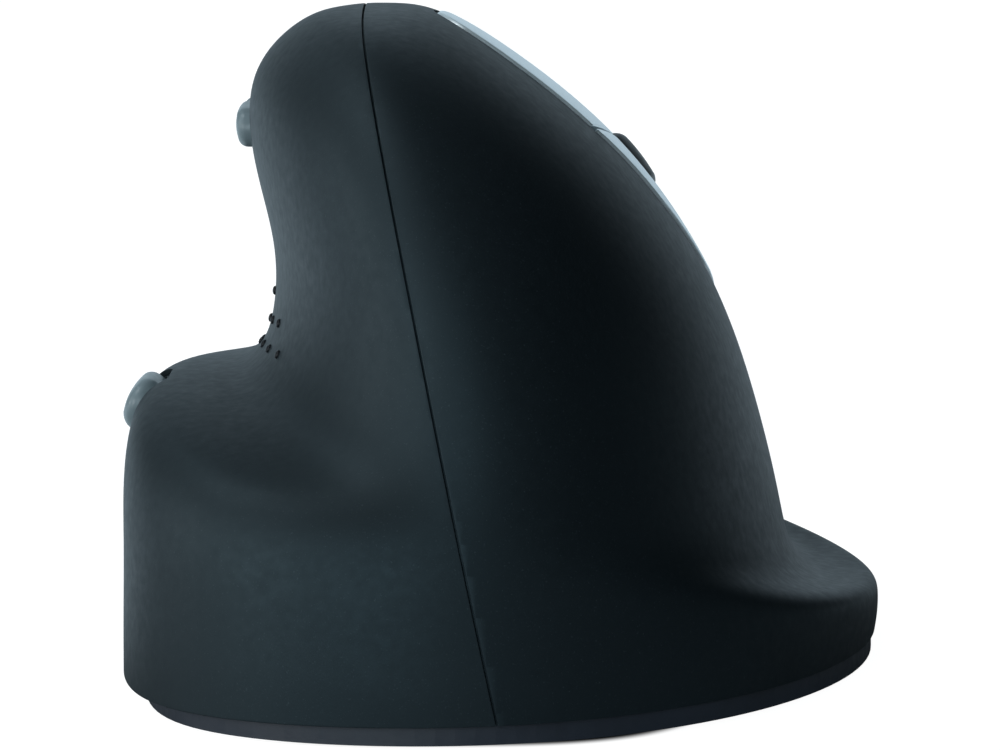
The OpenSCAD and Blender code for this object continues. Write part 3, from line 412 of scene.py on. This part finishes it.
def mesh_object(name, points, faces, sharp=PLAIN_EDGE):
    """A smooth-shaded object from points in millimetres, with its sharp edges marked."""
    mesh = bpy.data.meshes.new(name)
    mesh.from_pydata((np.asarray(points) * MM).tolist(), [], faces)
    mesh.validate()
    piece = bpy.data.objects.new(name, mesh)
    bpy.context.scene.collection.objects.link(piece)
    smooth(mesh, sharp)
    return piece


def smooth(mesh, sharp):
    mesh.polygons.foreach_set("use_smooth", [True] * len(mesh.polygons))
    mesh.set_sharp_from_angle(angle=math.radians(sharp))


def stand_for(piece, node, body):
    """The piece rides on a body and takes the place and the finish of a node."""
    slot = node_slots[node]
    piece.data.materials.clear()
    piece.data.materials.append(SLOT_MATERIALS[slot])
    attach(piece, body)
    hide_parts(node)


def carve(piece, cutters, sharp):
    """Cuts the cutters out of the piece and deletes them."""
    for cutter in cutters:
        cut = piece.modifiers.new("cut", "BOOLEAN")
        cut.operation = "DIFFERENCE"
        cut.solver = "MANIFOLD"
        cut.object = cutter
    done = bpy.data.meshes.new_from_object(piece.evaluated_get(bpy.context.evaluated_depsgraph_get()))
    piece.modifiers.clear()
    piece.data = done
    for cutter in cutters:
        bpy.data.objects.remove(cutter)
    smooth(done, sharp)


class Place:
    """A local frame: a point and three directions."""

    def __init__(self, at, u, v, n):
        self.at, self.axes = np.asarray(at, float), np.array([u, v, n], float)

    def world(self, points):
        return self.at + np.asarray(points, float) @ self.axes

    def prism(self, name, outline, low, high):
        """A closed prism over an outline that runs counterclockwise."""
        count = len(outline)
        points = [(*p, low) for p in outline] + [(*p, high) for p in outline]
        faces = [tuple(reversed(range(count))), tuple(range(count, 2 * count))]
        for i in range(count):
            j = (i + 1) % count
            faces.append((i, j, count + j, count + i))
        return mesh_object(name, self.world(points), faces)


# Outlines in a plane
def arc_points(centre, radius, start, end, step):
    count = max(2, int(abs(end - start) * radius / step) + 1)
    return [
        (centre[0] + radius * math.cos(a), centre[1] + radius * math.sin(a))
        for a in np.linspace(start, end, count)
    ]


def rounded(corners, radii, step=0.4):
    """A closed outline with its corners rounded, and points along its straight runs."""
    count = len(corners)
    out = []
    for i in range(count):
        a, b, c = (np.array(corners[(i + d) % count], float) for d in (-1, 0, 1))
        back, on = unit(a - b), unit(c - b)
        half = math.acos(max(-1.0, min(1.0, float(back @ on)))) / 2
        turn = (b - a)[0] * (c - b)[1] - (b - a)[1] * (c - b)[0]
        reach = radii[i] / math.tan(half)
        if radii[i] <= 0 or reach < 1e-4:
            out.append(tuple(b))
            continue
        centre = b + unit(back + on) * radii[i] / math.sin(half)
        first, last = b + back * reach - centre, b + on * reach - centre
        start, end = math.atan2(first[1], first[0]), math.atan2(last[1], last[0])
        if turn > 0 and end < start:
            end += 2 * math.pi
        if turn < 0 and end > start:
            end -= 2 * math.pi
        out += arc_points(centre, radii[i], start, end, min(step, radii[i] / 4))
    return spaced(out, step)


def spaced(outline, step):
    """The outline with extra points wherever two neighbours lie further apart than step."""
    out = []
    for i, p in enumerate(outline):
        q = outline[(i + 1) % len(outline)]
        gap = math.dist(p, q)
        if gap < 1e-4:
            continue
        parts = max(1, math.ceil(gap / step))
        out += [(p[0] + (q[0] - p[0]) * k / parts, p[1] + (q[1] - p[1]) * k / parts) for k in range(parts)]
    return out


def inset_by(outline, distance):
    """The outline moved inward along its normals."""
    p = np.array(outline)
    way = np.roll(p, -1, 0) - np.roll(p, 1, 0)
    way /= np.linalg.norm(way, axis=1)[:, None]
    return p + distance * np.stack([-way[:, 1], way[:, 0]], 1)


def capsule_outline(length, width, step=0.25):
    reach, r = (length - width) / 2, width / 2
    front = arc_points((0, reach), r, 0, math.pi, step)
    rear = arc_points((0, -reach), r, math.pi, 2 * math.pi, step)
    return spaced(front + rear, step)


# Skins to drop points on
def skin_tree(place, turns, levels, inset, columns, rows):
    """A fine patch of the skin in a local frame, for finding heights along its third axis."""
    t, l = np.meshgrid(np.linspace(*turns, columns), np.linspace(*levels, rows))
    points = (skin(t, l, inset).reshape(-1, 3) - place.at) @ place.axes.T
    a = np.arange((rows - 1) * columns).reshape(rows - 1, columns)[:, :-1].ravel()
    quads = np.stack([a, a + 1, a + columns + 1, a + columns], 1)
    return BVHTree.FromPolygons(points.tolist(), quads.tolist())


def height(tree, p, above=40.0):
    hit = tree.ray_cast(Vector((p[0], p[1], above)), Vector((0, 0, -1)))[0]
    if hit is None:
        near = tree.find_nearest(Vector((p[0], p[1], 0.0)))[0]
        return near.z
    return hit.z


FILLET_STEPS = 6


def draped_cap(name, place, outline, tree, fillet, depth, spacing, crown=0.0, floor=None):
    """A closed cap over an outline: its top lies on a skin, its edge is rolled over and its
    sides go down by depth, or to a floor height."""
    rings, drops = [], []
    for k in range(FILLET_STEPS + 1):
        angle = math.pi / 2 * k / FILLET_STEPS
        rings.append(inset_by(outline, fillet * (1 - math.cos(angle))))
        drops.append(fillet * (1 - math.sin(angle)))
    inner = rings[-1]
    grid = inner_points(inner, spacing)
    flat, ids = [Vector(p) for p in inner.tolist() + grid], list(range(len(inner)))
    made = delaunay_2d_cdt(flat, [], [ids], 1, 1e-6)
    top, triangles = [tuple(p) for p in made[0]], [tuple(f) for f in made[2]]
    origin = {k: new for new, old in enumerate(made[3]) for k in old}
    edge = [origin[k] for k in ids]
    width = np.array([edge_distance(p, inner) for p in top])
    bulge = crown * (1 - (1 - np.minimum(1.0, width / max(width.max(), 1e-6))) ** 2)
    top_z = np.array([height(tree, p) for p in top]) + bulge
    points = [(p[0], p[1], z) for p, z in zip(top, top_z)]
    faces = list(triangles)
    upper = edge
    for ring, drop in zip(reversed(rings[:-1]), reversed(drops[:-1])):
        start = len(points)
        points += [(p[0], p[1], height(tree, p) - drop) for p in ring]
        lower = list(range(start, start + len(ring)))
        faces += strip(upper, lower)
        upper = lower
    start = len(points)
    for p in rings[0]:
        points.append((p[0], p[1], floor if floor is not None else height(tree, p) - fillet - depth))
    lower = list(range(start, start + len(rings[0])))
    faces += strip(upper, lower)
    base = len(points)
    if floor is not None:
        points += [(p[0], p[1], floor) for p in top]
    else:
        points += [(p[0], p[1], z - fillet - depth) for p, z in zip(top, top_z)]
    faces += strip(lower, [base + k for k in edge])
    faces += [tuple(base + k for k in reversed(f)) for f in triangles]
    return mesh_object(name, place.world(points), faces, CAP_EDGE)


def strip(upper, lower):
    count = len(upper)
    return [(upper[i], lower[i], lower[(i + 1) % count], upper[(i + 1) % count]) for i in range(count)]


def edge_distance(p, outline):
    return float(np.min(np.linalg.norm(np.asarray(outline) - np.asarray(p), axis=1)))


def inner_points(outline, spacing):
    """A staggered grid of points inside an outline, clear of its edge."""
    low, high = outline.min(0), outline.max(0)
    found = []
    for row, y in enumerate(np.arange(low[1], high[1], spacing * 0.866)):
        for x in np.arange(low[0] + (row % 2) * spacing / 2, high[0], spacing):
            if inside((x, y), outline) and edge_distance((x, y), outline) > spacing * 0.6:
                found.append([float(x), float(y)])
    return found


def inside(p, outline):
    x, y = outline[:, 0], outline[:, 1]
    x2, y2 = np.roll(x, -1), np.roll(y, -1)
    cross = (y > p[1]) != (y2 > p[1])
    with np.errstate(divide="ignore", invalid="ignore"):
        hit = p[0] < (x2 - x) * (p[1] - y) / (y2 - y) + x
    return bool(np.count_nonzero(cross & hit) % 2)


# Shells: the skin is cut at the leaning joint and above the rim, its edges are rolled inward
SKIN_AROUND = 240
SKIN_UP = 168
ROLL = 0.1
ROLL_STEPS = 5
SHELL_T = 1.4
TONGUE = 0.17
TONGUE_STEPS = ((0.4, 0.0), (0.42, 1.0), (1.2, 1.0), (1.22, 0.0))
lean = math.radians(SEAM_LEAN)
SEAM_NORMAL = np.array([math.cos(lean), 0.0, math.sin(lean)])
SEAM_POINT = np.array([SEAM_FOOT + MIDDLE[0], 0.0, RIM_Z])
DOWN = np.array([0.0, 0.0, -1.0])


def shell(name, side):
    """One half of the shell; side is -1 for the thumb half and 1 for the palm half."""
    turns = np.arange(SKIN_AROUND) * RING / SKIN_AROUND
    levels = np.arange(SKIN_UP) * TOP / SKIN_UP
    rows = skin(turns[None, :], levels[:, None])
    bm = bmesh.new()
    grid = [[bm.verts.new(p) for p in row] for row in rows.tolist()]
    crown = bm.verts.new(skin(0.0, float(TOP)).tolist())
    for j in range(SKIN_UP):
        for q in range(SKIN_AROUND):
            r = (q + 1) % SKIN_AROUND
            if j + 1 < SKIN_UP:
                bm.faces.new((grid[j][q], grid[j][r], grid[j + 1][r], grid[j + 1][q]))
            else:
                bm.faces.new((grid[j][q], grid[j][r], crown))
    away = SEAM_NORMAL * -side
    seam_at = SEAM_POINT - away * (SEAM_GAP / 2 + ROLL)
    rim_at = np.array([0.0, 0.0, RIM_Z + ROLL])
    for at, normal in ((seam_at, away), (rim_at, DOWN)):
        bmesh.ops.bisect_plane(
            bm, geom=bm.verts[:] + bm.edges[:] + bm.faces[:], dist=1e-4,
            plane_co=at, plane_no=normal, clear_outer=True,
        )
    bm.normal_update()
    bm.verts.index_update()
    points = [np.array(v.co) for v in bm.verts]
    normals = [np.array(v.normal) for v in bm.verts]
    outer = [tuple(v.index for v in f.verts) for f in bm.faces]
    rim_edges = []
    for edge in bm.edges:
        if edge.is_boundary:
            loop = edge.link_loops[0]
            rim_edges.append((loop.vert.index, loop.link_loop_next.vert.index))
    bm.free()
    count = len(points)
    points += [p - SHELL_T * n for p, n in zip(points, normals)]
    faces = outer + [tuple(count + k for k in reversed(f)) for f in outer]
    rolled = {}
    for k in sorted({v for e in rim_edges for v in e}):
        ways = []
        if abs((points[k] - seam_at) @ away) < 1e-3:
            ways.append(away)
        if abs(points[k][2] - rim_at[2]) < 1e-3:
            ways.append(DOWN)
        inward = -normals[k]
        for way in ways:
            inward = inward - (inward @ way) * way
        inward, lateral = unit(inward), sum(ways)
        chain = [k]
        for step in range(1, ROLL_STEPS + 1):
            angle = math.pi / 2 * step / ROLL_STEPS
            shift = lateral * ROLL * math.sin(angle) + inward * ROLL * (1 - math.cos(angle))
            chain.append(len(points))
            points.append(points[k] + shift)
        tongue = away * TONGUE * (side > 0 and ways[0] is away)
        for depth, reach in TONGUE_STEPS + ((SHELL_T, 0.0),):
            chain.append(len(points))
            points.append(points[k] + lateral * ROLL + inward * depth + tongue * reach)
        rolled[k] = chain + [count + k]
    for a, b in rim_edges:
        for s in range(ROLL_STEPS + len(TONGUE_STEPS) + 2):
            faces.append((rolled[b][s], rolled[a][s], rolled[a][s + 1], rolled[b][s + 1]))
    return mesh_object(name, points, faces, SHELL_EDGE)


# Finger frame and the two finger panels
tilt, swing, pitch = (math.radians(a) for a in (FINGER_TILT, FINGER_TURN, FINGER_PITCH))
SLOPE = np.array([math.sin(tilt), 0.0, -math.cos(tilt)])
FACING = np.array([math.cos(tilt), 0.0, math.sin(tilt)])
AHEAD = np.array([0.0, 1.0, 0.0])
FINGER_U = math.cos(swing) * SLOPE - math.sin(swing) * AHEAD
FINGER_WAY = math.cos(swing) * AHEAD + math.sin(swing) * SLOPE
FINGER_V = math.cos(pitch) * FINGER_WAY - math.sin(pitch) * FACING
FINGER_N = math.cos(pitch) * FACING + math.sin(pitch) * FINGER_WAY
FINGER_SPOT = (0.61, 8.91)
FINGER = Place(skin(*FINGER_SPOT), FINGER_U, FINGER_V, FINGER_N)
PANEL_LINE = [
    (17.6, -11), (19, 4), (18, 20), (12, 30), (2, 31.5), (-8, 27), (-16, 15),
    (-20.5, 0), (-21, -30.4), (-10, -28.7), (0, -25.9), (10, -19.8),
]
PANEL_FRONT = -5.0
PANEL_RADII = [PANEL_R if p[1] < PANEL_FRONT else PANEL_FRONT_R for p in PANEL_LINE]
WHEEL_N = WHEEL_RISE - WHEEL_D / 2
BUTTON_T = 2.0
SLOT_DIP = 2.4
SLOT_N = BUTTON_RISE - BUTTON_T - SLOT_DIP
SLOT_L = 2 * math.sqrt((WHEEL_D / 2) ** 2 - (SLOT_N - WHEEL_N) ** 2) + 2 * WHEEL_SIDE
SLOT_U = (WHEEL_SHIFT - WHEEL_W / 2 - WHEEL_SIDE, WHEEL_SHIFT + WHEEL_W / 2 + WHEEL_SIDE)
PANEL_FILLET = 0.2
PANEL_SKIRT = 1.3
PANEL_SPACING = 0.9
PANEL_STEP = 0.5
PANEL_DEPTH = 14
PANEL_TOP = 8
PANEL_PATCH = ((-1.0, 2.6), (5.0, 11.9))
PANEL_GRID = (520, 420)


def crossings(outline, u):
    """Forward positions where an outline crosses a line across the fingers, rear first."""
    found = []
    for i, p in enumerate(outline):
        q = outline[(i + 1) % len(outline)]
        if (p[0] - u) * (q[0] - u) < 0:
            found.append(p[1] + (q[1] - p[1]) * (u - p[0]) / (q[0] - p[0]))
    return min(found), max(found)


def panel_outline(side):
    """Outline of one finger button; side is -1 for the upper one and 1 for the lower one."""
    whole = rounded(PANEL_LINE, PANEL_RADII, PANEL_STEP)
    cut = side * BUTTON_GAP / 2
    rear, front = crossings(whole, cut)
    kept = [p for p in whole if (p[0] - cut) * side > 0.05]
    wall = SLOT_U[0] if side < 0 else SLOT_U[1]
    slot = [(cut, -SLOT_L / 2), (wall, -SLOT_L / 2), (wall, SLOT_L / 2), (cut, SLOT_L / 2)]
    edge = [(cut, rear)] + slot + [(cut, front)]
    if side > 0:
        edge.reverse()
    start = max(range(len(kept)), key=lambda i: math.dist(kept[i], kept[(i + 1) % len(kept)]))
    kept = kept[start + 1:] + kept[:start + 1]
    radius = [0.7, 0.5, 0.9, 0.9, 0.5, 0.7]
    return rounded(edge + kept, radius + [0.0] * len(kept), PANEL_STEP)


def finger_panel(name, side, node, body):
    tree = skin_tree(FINGER, *PANEL_PATCH, -BUTTON_RISE, *PANEL_GRID)
    outline = panel_outline(side)
    piece = draped_cap(name, FINGER, outline, tree, PANEL_FILLET, PANEL_SKIRT, PANEL_SPACING)
    stand_for(piece, node, body)


def grown_panel():
    return inset_by(rounded(PANEL_LINE, PANEL_RADII, PANEL_STEP), -BUTTON_GAP).tolist()


# Side buttons
BACK_SPOT = (3.88, 8.38)
FORWARD_SPOT = (3.52, 8.55)
LEDGE_SPOT = (3.9, 3.5)
CAP_DEPTH = 3.6
HOLE_DEPTH = 6.3
POCKET_W = 1.3
POCKET_DEPTH = 0.8
POCKET_SPACING = 0.6
CUT_TOP = 20.0
SIDE_GRID = (260, 260)
CAP_SPACING = 0.45
CAP_CROWN = 0.12
THUMB_CAP = (THUMB_L, THUMB_H, THUMB_RISE, 1.0)
LEDGE_CAP = (LEDGE_L, LEDGE_W, LEDGE_RISE, 1.2)


def thumb_place(spot):
    return Place(skin(*spot), (0, 0, -1), (0, 1, 0), (-1, 0, 0))


def ledge_place():
    a = math.radians(LEDGE_LEAN)
    across, out = (math.cos(a), 0, math.sin(a)), (-math.sin(a), 0, math.cos(a))
    return Place(skin(*LEDGE_SPOT), across, (0, 1, 0), out)


def ledge_pocket():
    """A cutter for the shallow pocket round the ledge button, whose floor follows the skin."""
    place = ledge_place()
    tree = skin_tree(place, (3.3, 4.5), (2.2, 5.0), POCKET_DEPTH, *SIDE_GRID)
    outline = np.array(capsule_outline(LEDGE_L + 2 * POCKET_W, LEDGE_W + 2 * POCKET_W))
    grid = inner_points(outline, POCKET_SPACING)
    flat, ids = [Vector(p) for p in outline.tolist() + grid], list(range(len(outline)))
    made = delaunay_2d_cdt(flat, [], [ids], 1, 1e-6)
    spots, triangles = [tuple(p) for p in made[0]], [tuple(f) for f in made[2]]
    origin = {k: new for new, old in enumerate(made[3]) for k in old}
    edge = [origin[k] for k in ids]
    count = len(spots)
    points = [(p[0], p[1], CUT_TOP) for p in spots] + [(p[0], p[1], height(tree, p)) for p in spots]
    faces = triangles + [tuple(count + k for k in reversed(f)) for f in triangles]
    faces += strip(edge, [count + k for k in edge])
    return mesh_object("ledge_pocket", place.world(points), faces)


thumb_shell = shell("thumb_shell_skin", -1)
cutters = []
for spot in (BACK_SPOT, FORWARD_SPOT):
    hole = capsule_outline(THUMB_L + 2 * SLIDE_GAP, THUMB_H + 2 * SLIDE_GAP)
    cutters.append(thumb_place(spot).prism("thumb_hole", hole, -HOLE_DEPTH, CUT_TOP))
hole = capsule_outline(LEDGE_L + 2 * SLIDE_GAP, LEDGE_W + 2 * SLIDE_GAP)
cutters.append(ledge_place().prism("ledge_hole", hole, -HOLE_DEPTH, CUT_TOP))
cutters.append(ledge_pocket())
carve(thumb_shell, cutters, SHELL_EDGE)
stand_for(thumb_shell, "thumb_shell", "housing")

palm_shell = shell("palm_shell_skin", 1)
panel_hole = FINGER.prism("panel_hole", grown_panel(), -PANEL_DEPTH, PANEL_TOP)
carve(palm_shell, [panel_hole], SHELL_EDGE)
stand_for(palm_shell, "palm_shell", "housing")

finger_panel("upper_panel", -1, "upper_button", "upper_button")
finger_panel("lower_panel", 1, "lower_button", "lower_button")


def side_cap(name, place, size, turns, levels, node):
    """A side button's cap; size is its length, width, rise and edge radius."""
    length, width, rise, fillet = size
    tree = skin_tree(place, turns, levels, -rise, *SIDE_GRID)
    outline = capsule_outline(length, width)
    piece = draped_cap(name, place, outline, tree, fillet, 0.0, CAP_SPACING, CAP_CROWN, -CAP_DEPTH)
    stand_for(piece, node, node)


side_cap("back_cap", thumb_place(BACK_SPOT), THUMB_CAP, (3.3, 4.5), (7.4, 9.6), "back_button")
side_cap("forward_cap", thumb_place(FORWARD_SPOT), THUMB_CAP, (2.9, 4.1), (7.5, 9.8), "forward_button")
side_cap("ledge_cap", ledge_place(), LEDGE_CAP, (3.4, 4.4), (2.4, 4.8), "ledge_button")

# Grip dots: low domes on short studs, square to the skin
DOT_START = (4.08, 5.52)
DOT_REAR = (2, 2, 0, -1, -2)
DOT_AHEAD = 3
DOT_CLIMB = 0.6
DOT_DEPTH = 0.5
DOT_SIDES = 20


def grip_dots():
    level = DOT_START[1] + 1
    middle = skin(DOT_START[0], level)
    turn_step = PROBE * DOT_PITCH / np.linalg.norm(skin(DOT_START[0] + PROBE, level) - middle)
    level_step = PROBE * DOT_ROW / np.linalg.norm(skin(DOT_START[0], level + PROBE) - middle)
    r = DOT_D / 2
    profile = [(r, -DOT_DEPTH), (r, DOT_RISE * 0.25)]
    profile += [
        (r * math.cos(a), DOT_RISE * (0.25 + 0.75 * math.sin(a))) for a in np.linspace(0.2, 1.35, 6)
    ]
    points, faces = [], []
    for row, rear in enumerate(DOT_REAR):
        for column in range(-DOT_AHEAD, rear + 1):
            shift = (column - row % 2 / 2) * turn_step
            at = (DOT_START[0] + shift, DOT_START[1] + row * level_step + shift * DOT_CLIMB)
            out = skin_out(*at)
            across = unit(np.cross((0, 1, 0), out))
            place = Place(skin(*at), across, np.cross(out, across), out)
            start = len(points)
            for radius, z in profile:
                ring = [
                    (radius * math.cos(a), radius * math.sin(a), z)
                    for a in np.arange(DOT_SIDES) * 2 * math.pi / DOT_SIDES
                ]
                points += place.world(ring).tolist()
            rings = [[start + k * DOT_SIDES + i for i in range(DOT_SIDES)] for k in range(len(profile))]
            for lower, upper in zip(rings, rings[1:]):
                faces += strip(upper, lower)
            faces += [tuple(reversed(rings[0])), tuple(rings[-1])]
    return mesh_object("grip_dot_domes", points, faces, CAP_EDGE)


stand_for(grip_dots(), "grip_dots", "housing")


# Tyre: a crowned tread between rounded shoulders
TYRE_SIDES = 144
TYRE_SHOULDER = 1.5
TYRE_CROWN = 0.12


def tyre():
    sides, shoulder, crown = TYRE_SIDES, TYRE_SHOULDER, TYRE_CROWN
    outer, inner, half = WHEEL_D / 2, WHEEL_D / 2 - TYRE_T, WHEEL_W / 2
    profile = [(inner, -half + 0.1), (inner + 0.1, -half)]
    for a in np.linspace(0, math.pi / 2, 8):
        profile.append((outer - crown - shoulder * (1 - math.sin(a)), -half + shoulder * (1 - math.cos(a))))
    for t in np.linspace(-0.9, 0.9, 13):
        profile.append((outer - crown * t * t, t * (half - shoulder)))
    profile += [(r, -x) for r, x in reversed(profile[:10])]
    centre = FINGER.world((WHEEL_SHIFT, 0, WHEEL_N))
    place = Place(centre, FINGER_V, FINGER_N, FINGER_U)
    points, faces = [], []
    for a in np.arange(sides) * 2 * math.pi / sides:
        points += place.world([(r * math.cos(a), r * math.sin(a), x) for r, x in profile]).tolist()
    count = len(profile)
    for s in range(sides):
        t = (s + 1) % sides
        for k in range(count):
            m = (k + 1) % count
            faces.append((s * count + k, t * count + k, t * count + m, s * count + m))
    return mesh_object("tyre_tread", points, faces, CAP_EDGE)


stand_for(tyre(), "wheel_tyre", "wheel")

# Camera at the photograph's angle
CAMERA_ELEVATION = 9.0
CAMERA_DISTANCE = 800.0
CAMERA_TARGET = np.array([MIDDLE[0], MIDDLE[1], 31.05])
CAMERA_LENS = 258.6
rise = math.radians(CAMERA_ELEVATION)
back = np.array([0.0, -math.cos(rise), math.sin(rise)])
camera = bpy.data.objects.new("camera", bpy.data.cameras.new("camera"))
bpy.context.scene.collection.objects.link(camera)
camera.location = (CAMERA_TARGET + CAMERA_DISTANCE * back) * MM
camera.rotation_euler = (math.pi / 2 - rise, 0, 0)
camera.data.lens = CAMERA_LENS
camera.data.sensor_width = 36.0
camera.data.clip_start = 0.01
camera.data.clip_end = 50.0
bpy.context.scene.camera = camera

# Floor: white to the camera and in reflections, dark under the base where its glow is masked off as a
# painted shadow, with a faint painted light there for the underside, and clear from below
SKY = (0.7, 0.88, 1, 1)
WHITE = (1, 1, 1, 1)
FLOOR = 12.0
FLOOR_WHITE = 0.97
FLOOR_TONE = (0.25, 0.25, 0.25, 1)
FLOOR_BEHIND = (0.0, 0.25)
FLOOR_LEFT = ((-0.04, -0.055), (-0.03, 0.03))
# Under the base: the footprint where the floor's glow is masked off as a painted shadow, and the reach and
# strength of a faint painted light on the underside
FOOTPRINT = ((-0.006, 0.032), (-0.004, 0.05))
FOOTPRINT_EDGE = (0.85, 1.0)
UNDER_EDGE = (2.5, 4.0)
PAINTED_UNDER_LIGHT = 0.35


def whitened(node_tree, light_path, target):
    """Feeds a colour socket the sky's colour, or white for camera rays."""
    node = node_tree.nodes.new("ShaderNodeMix")
    node.data_type = "RGBA"
    node.inputs[6].default_value = SKY
    node.inputs[7].default_value = WHITE
    node_tree.links.new(light_path.outputs["Is Camera Ray"], node.inputs[0])
    node_tree.links.new(node.outputs[2], target)


floor_material = bpy.data.materials.new("pale_floor")
floor_material.use_nodes = True
tree = floor_material.node_tree
tree.nodes.clear()
output = tree.nodes.new("ShaderNodeOutputMaterial")
path = tree.nodes.new("ShaderNodeLightPath")


def floor_math(operation, first, second):
    """One math node; first and second are numbers or sockets."""
    node = tree.nodes.new("ShaderNodeMath")
    node.operation = operation
    for socket, value in zip(node.inputs, (first, second)):
        if isinstance(value, float):
            socket.default_value = value
        else:
            tree.links.new(value, socket)
    return node.outputs[0]


spot = tree.nodes.new("ShaderNodeSeparateXYZ")
geometry = tree.nodes.new("ShaderNodeNewGeometry")
tree.links.new(geometry.outputs["Position"], spot.inputs[0])


def floor_range(source, low, high):
    """A smooth step from 0 to 1."""
    node = tree.nodes.new("ShaderNodeMapRange")
    node.interpolation_type = "SMOOTHSTEP"
    node.inputs["From Min"].default_value = low
    node.inputs["From Max"].default_value = high
    tree.links.new(source, node.inputs["Value"])
    return node.outputs["Result"]


def floor_reach(axis, middle, half):
    """Distance from the middle along an axis, in halves of the footprint, cubed."""
    away = floor_math("MULTIPLY", floor_math("SUBTRACT", spot.outputs[axis], middle), 1 / half)
    return floor_math("POWER", floor_math("ABSOLUTE", away, 0.0), 3.0)


mirrored = floor_math("MAXIMUM", path.outputs["Is Glossy Ray"], path.outputs["Is Transmission Ray"])
left = floor_range(spot.outputs["X"], *FLOOR_LEFT[0])
left = floor_math("MULTIPLY", left, floor_range(spot.outputs["Y"], *FLOOR_LEFT[1]))
bright = floor_math("MAXIMUM", floor_range(spot.outputs["Y"], *FLOOR_BEHIND), left)
shown = floor_math("MAXIMUM", floor_math("MULTIPLY", mirrored, bright), path.outputs["Is Camera Ray"])
# Under the base the floor's glow is masked off, a painted shadow, and the floor glows faintly there for
# diffuse rays, a painted light on the underside
reach = floor_math("ADD", floor_reach("X", *FOOTPRINT[0]), floor_reach("Y", *FOOTPRINT[1]))
shown = floor_math("MULTIPLY", shown, floor_range(reach, *FOOTPRINT_EDGE))
shown = floor_math("MULTIPLY", shown, FLOOR_WHITE)
# A faint glow for diffuse rays near the base: a painted light on the underside
near = floor_math("SUBTRACT", 1.0, floor_range(reach, *UNDER_EDGE))
painted_under_glow = floor_math("MULTIPLY", floor_math("MULTIPLY", path.outputs["Is Diffuse Ray"], near), PAINTED_UNDER_LIGHT)
glow = tree.nodes.new("ShaderNodeEmission")
tree.links.new(floor_math("ADD", shown, painted_under_glow), glow.inputs["Strength"])
whitened(tree, path, glow.inputs["Color"])
pale = tree.nodes.new("ShaderNodeBsdfDiffuse")
pale.inputs["Color"].default_value = FLOOR_TONE
both = tree.nodes.new("ShaderNodeAddShader")
tree.links.new(glow.outputs[0], both.inputs[0])
tree.links.new(pale.outputs[0], both.inputs[1])
one_sided = tree.nodes.new("ShaderNodeMixShader")
tree.links.new(geometry.outputs["Backfacing"], one_sided.inputs[0])
tree.links.new(both.outputs[0], one_sided.inputs[1])
tree.links.new(tree.nodes.new("ShaderNodeBsdfTransparent").outputs[0], one_sided.inputs[2])
tree.links.new(one_sided.outputs[0], output.inputs["Surface"])
floor_mesh = bpy.data.meshes.new("floor")
floor_corners = [(x * FLOOR, y * FLOOR, 0) for x, y in ((-1, -1), (1, -1), (1, 1), (-1, 1))]
floor_mesh.from_pydata(floor_corners, [], [(0, 1, 2, 3)])
floor = bpy.data.objects.new("floor", floor_mesh)
bpy.context.scene.collection.objects.link(floor)
floor_mesh.materials.append(floor_material)

# World: a white sweep behind the object, which shades off to a dark room on the photographer's side
AMBIENT = 0.22
SWEEP = (0.75, 1.0)
ROOM = 0.015
world = bpy.data.worlds.new("studio")
bpy.context.scene.world = world
world.use_nodes = True
world_tree = world.node_tree
background = world_tree.nodes["Background"]
direction = world_tree.nodes.new("ShaderNodeSeparateXYZ")
world_tree.links.new(world_tree.nodes.new("ShaderNodeTexCoord").outputs["Generated"], direction.inputs[0])


def world_choice(factor, plain, seen):
    """The plain value, or the seen one where the factor is 1; both are numbers or sockets."""
    node = world_tree.nodes.new("ShaderNodeMix")
    world_tree.links.new(factor, node.inputs[0])
    for socket, value in ((node.inputs[2], plain), (node.inputs[3], seen)):
        if isinstance(value, float):
            socket.default_value = value
        else:
            world_tree.links.new(value, socket)
    return node.outputs[0]


world_path = world_tree.nodes.new("ShaderNodeLightPath")
whitened(world_tree, world_path, background.inputs["Color"])
mirrored = world_tree.nodes.new("ShaderNodeMath")
mirrored.operation = "MAXIMUM"
world_tree.links.new(world_path.outputs["Is Glossy Ray"], mirrored.inputs[0])
world_tree.links.new(world_path.outputs["Is Transmission Ray"], mirrored.inputs[1])
sweep = world_tree.nodes.new("ShaderNodeMapRange")
sweep.interpolation_type = "SMOOTHSTEP"
sweep.inputs["From Min"].default_value, sweep.inputs["From Max"].default_value = SWEEP
sweep.inputs["To Min"].default_value = ROOM
world_tree.links.new(direction.outputs["Y"], sweep.inputs["Value"])
strength = world_choice(mirrored.outputs[0], AMBIENT, sweep.outputs["Result"])
strength = world_choice(world_path.outputs["Is Camera Ray"], strength, 1.0)
world_tree.links.new(strength, background.inputs["Strength"])


# Softboxes, all aimed at the middle of the object
AIM = (0, 0, 0.035)
BOX = (0.31, 0.35)
WIDE_BOX = (0.5, 0.5)
COOL = (0.9, 0.97, 1.0)
COOLER = (0.78, 0.93, 1.0)
BLUISH = (0.68, 0.88, 1.0)


def lamp(name, at, size, power, colour):
    light = bpy.data.lights.new(name, "AREA")
    light.shape = "RECTANGLE"
    light.size, light.size_y = size
    light.energy = power
    light.color = colour
    piece = bpy.data.objects.new(name, light)
    bpy.context.scene.collection.objects.link(piece)
    piece.location = at
    piece.rotation_euler = (Vector(AIM) - Vector(at)).to_track_quat("-Z", "Y").to_euler()


lamp("left_softbox", (-0.84, 0, 0.16), BOX, 1.5, COOL)
lamp("key_softbox", (-0.64, -0.54, 0.16), BOX, 2.55, COOL)
lamp("rear_softbox", (-0.15, -0.83, 0.16), BOX, 2.0, COOLER)
lamp("high_softbox", (-0.48, -0.08, 0.74), BOX, 1.7, COOL)
lamp("side_softbox", (-0.46, 0.46, 0.59), WIDE_BOX, 0.3, BLUISH)
lamp("back_softbox", (0, 0.6, 0.64), WIDE_BOX, 0.4, BLUISH)

bpy.context.scene.view_settings.view_transform = "Standard"
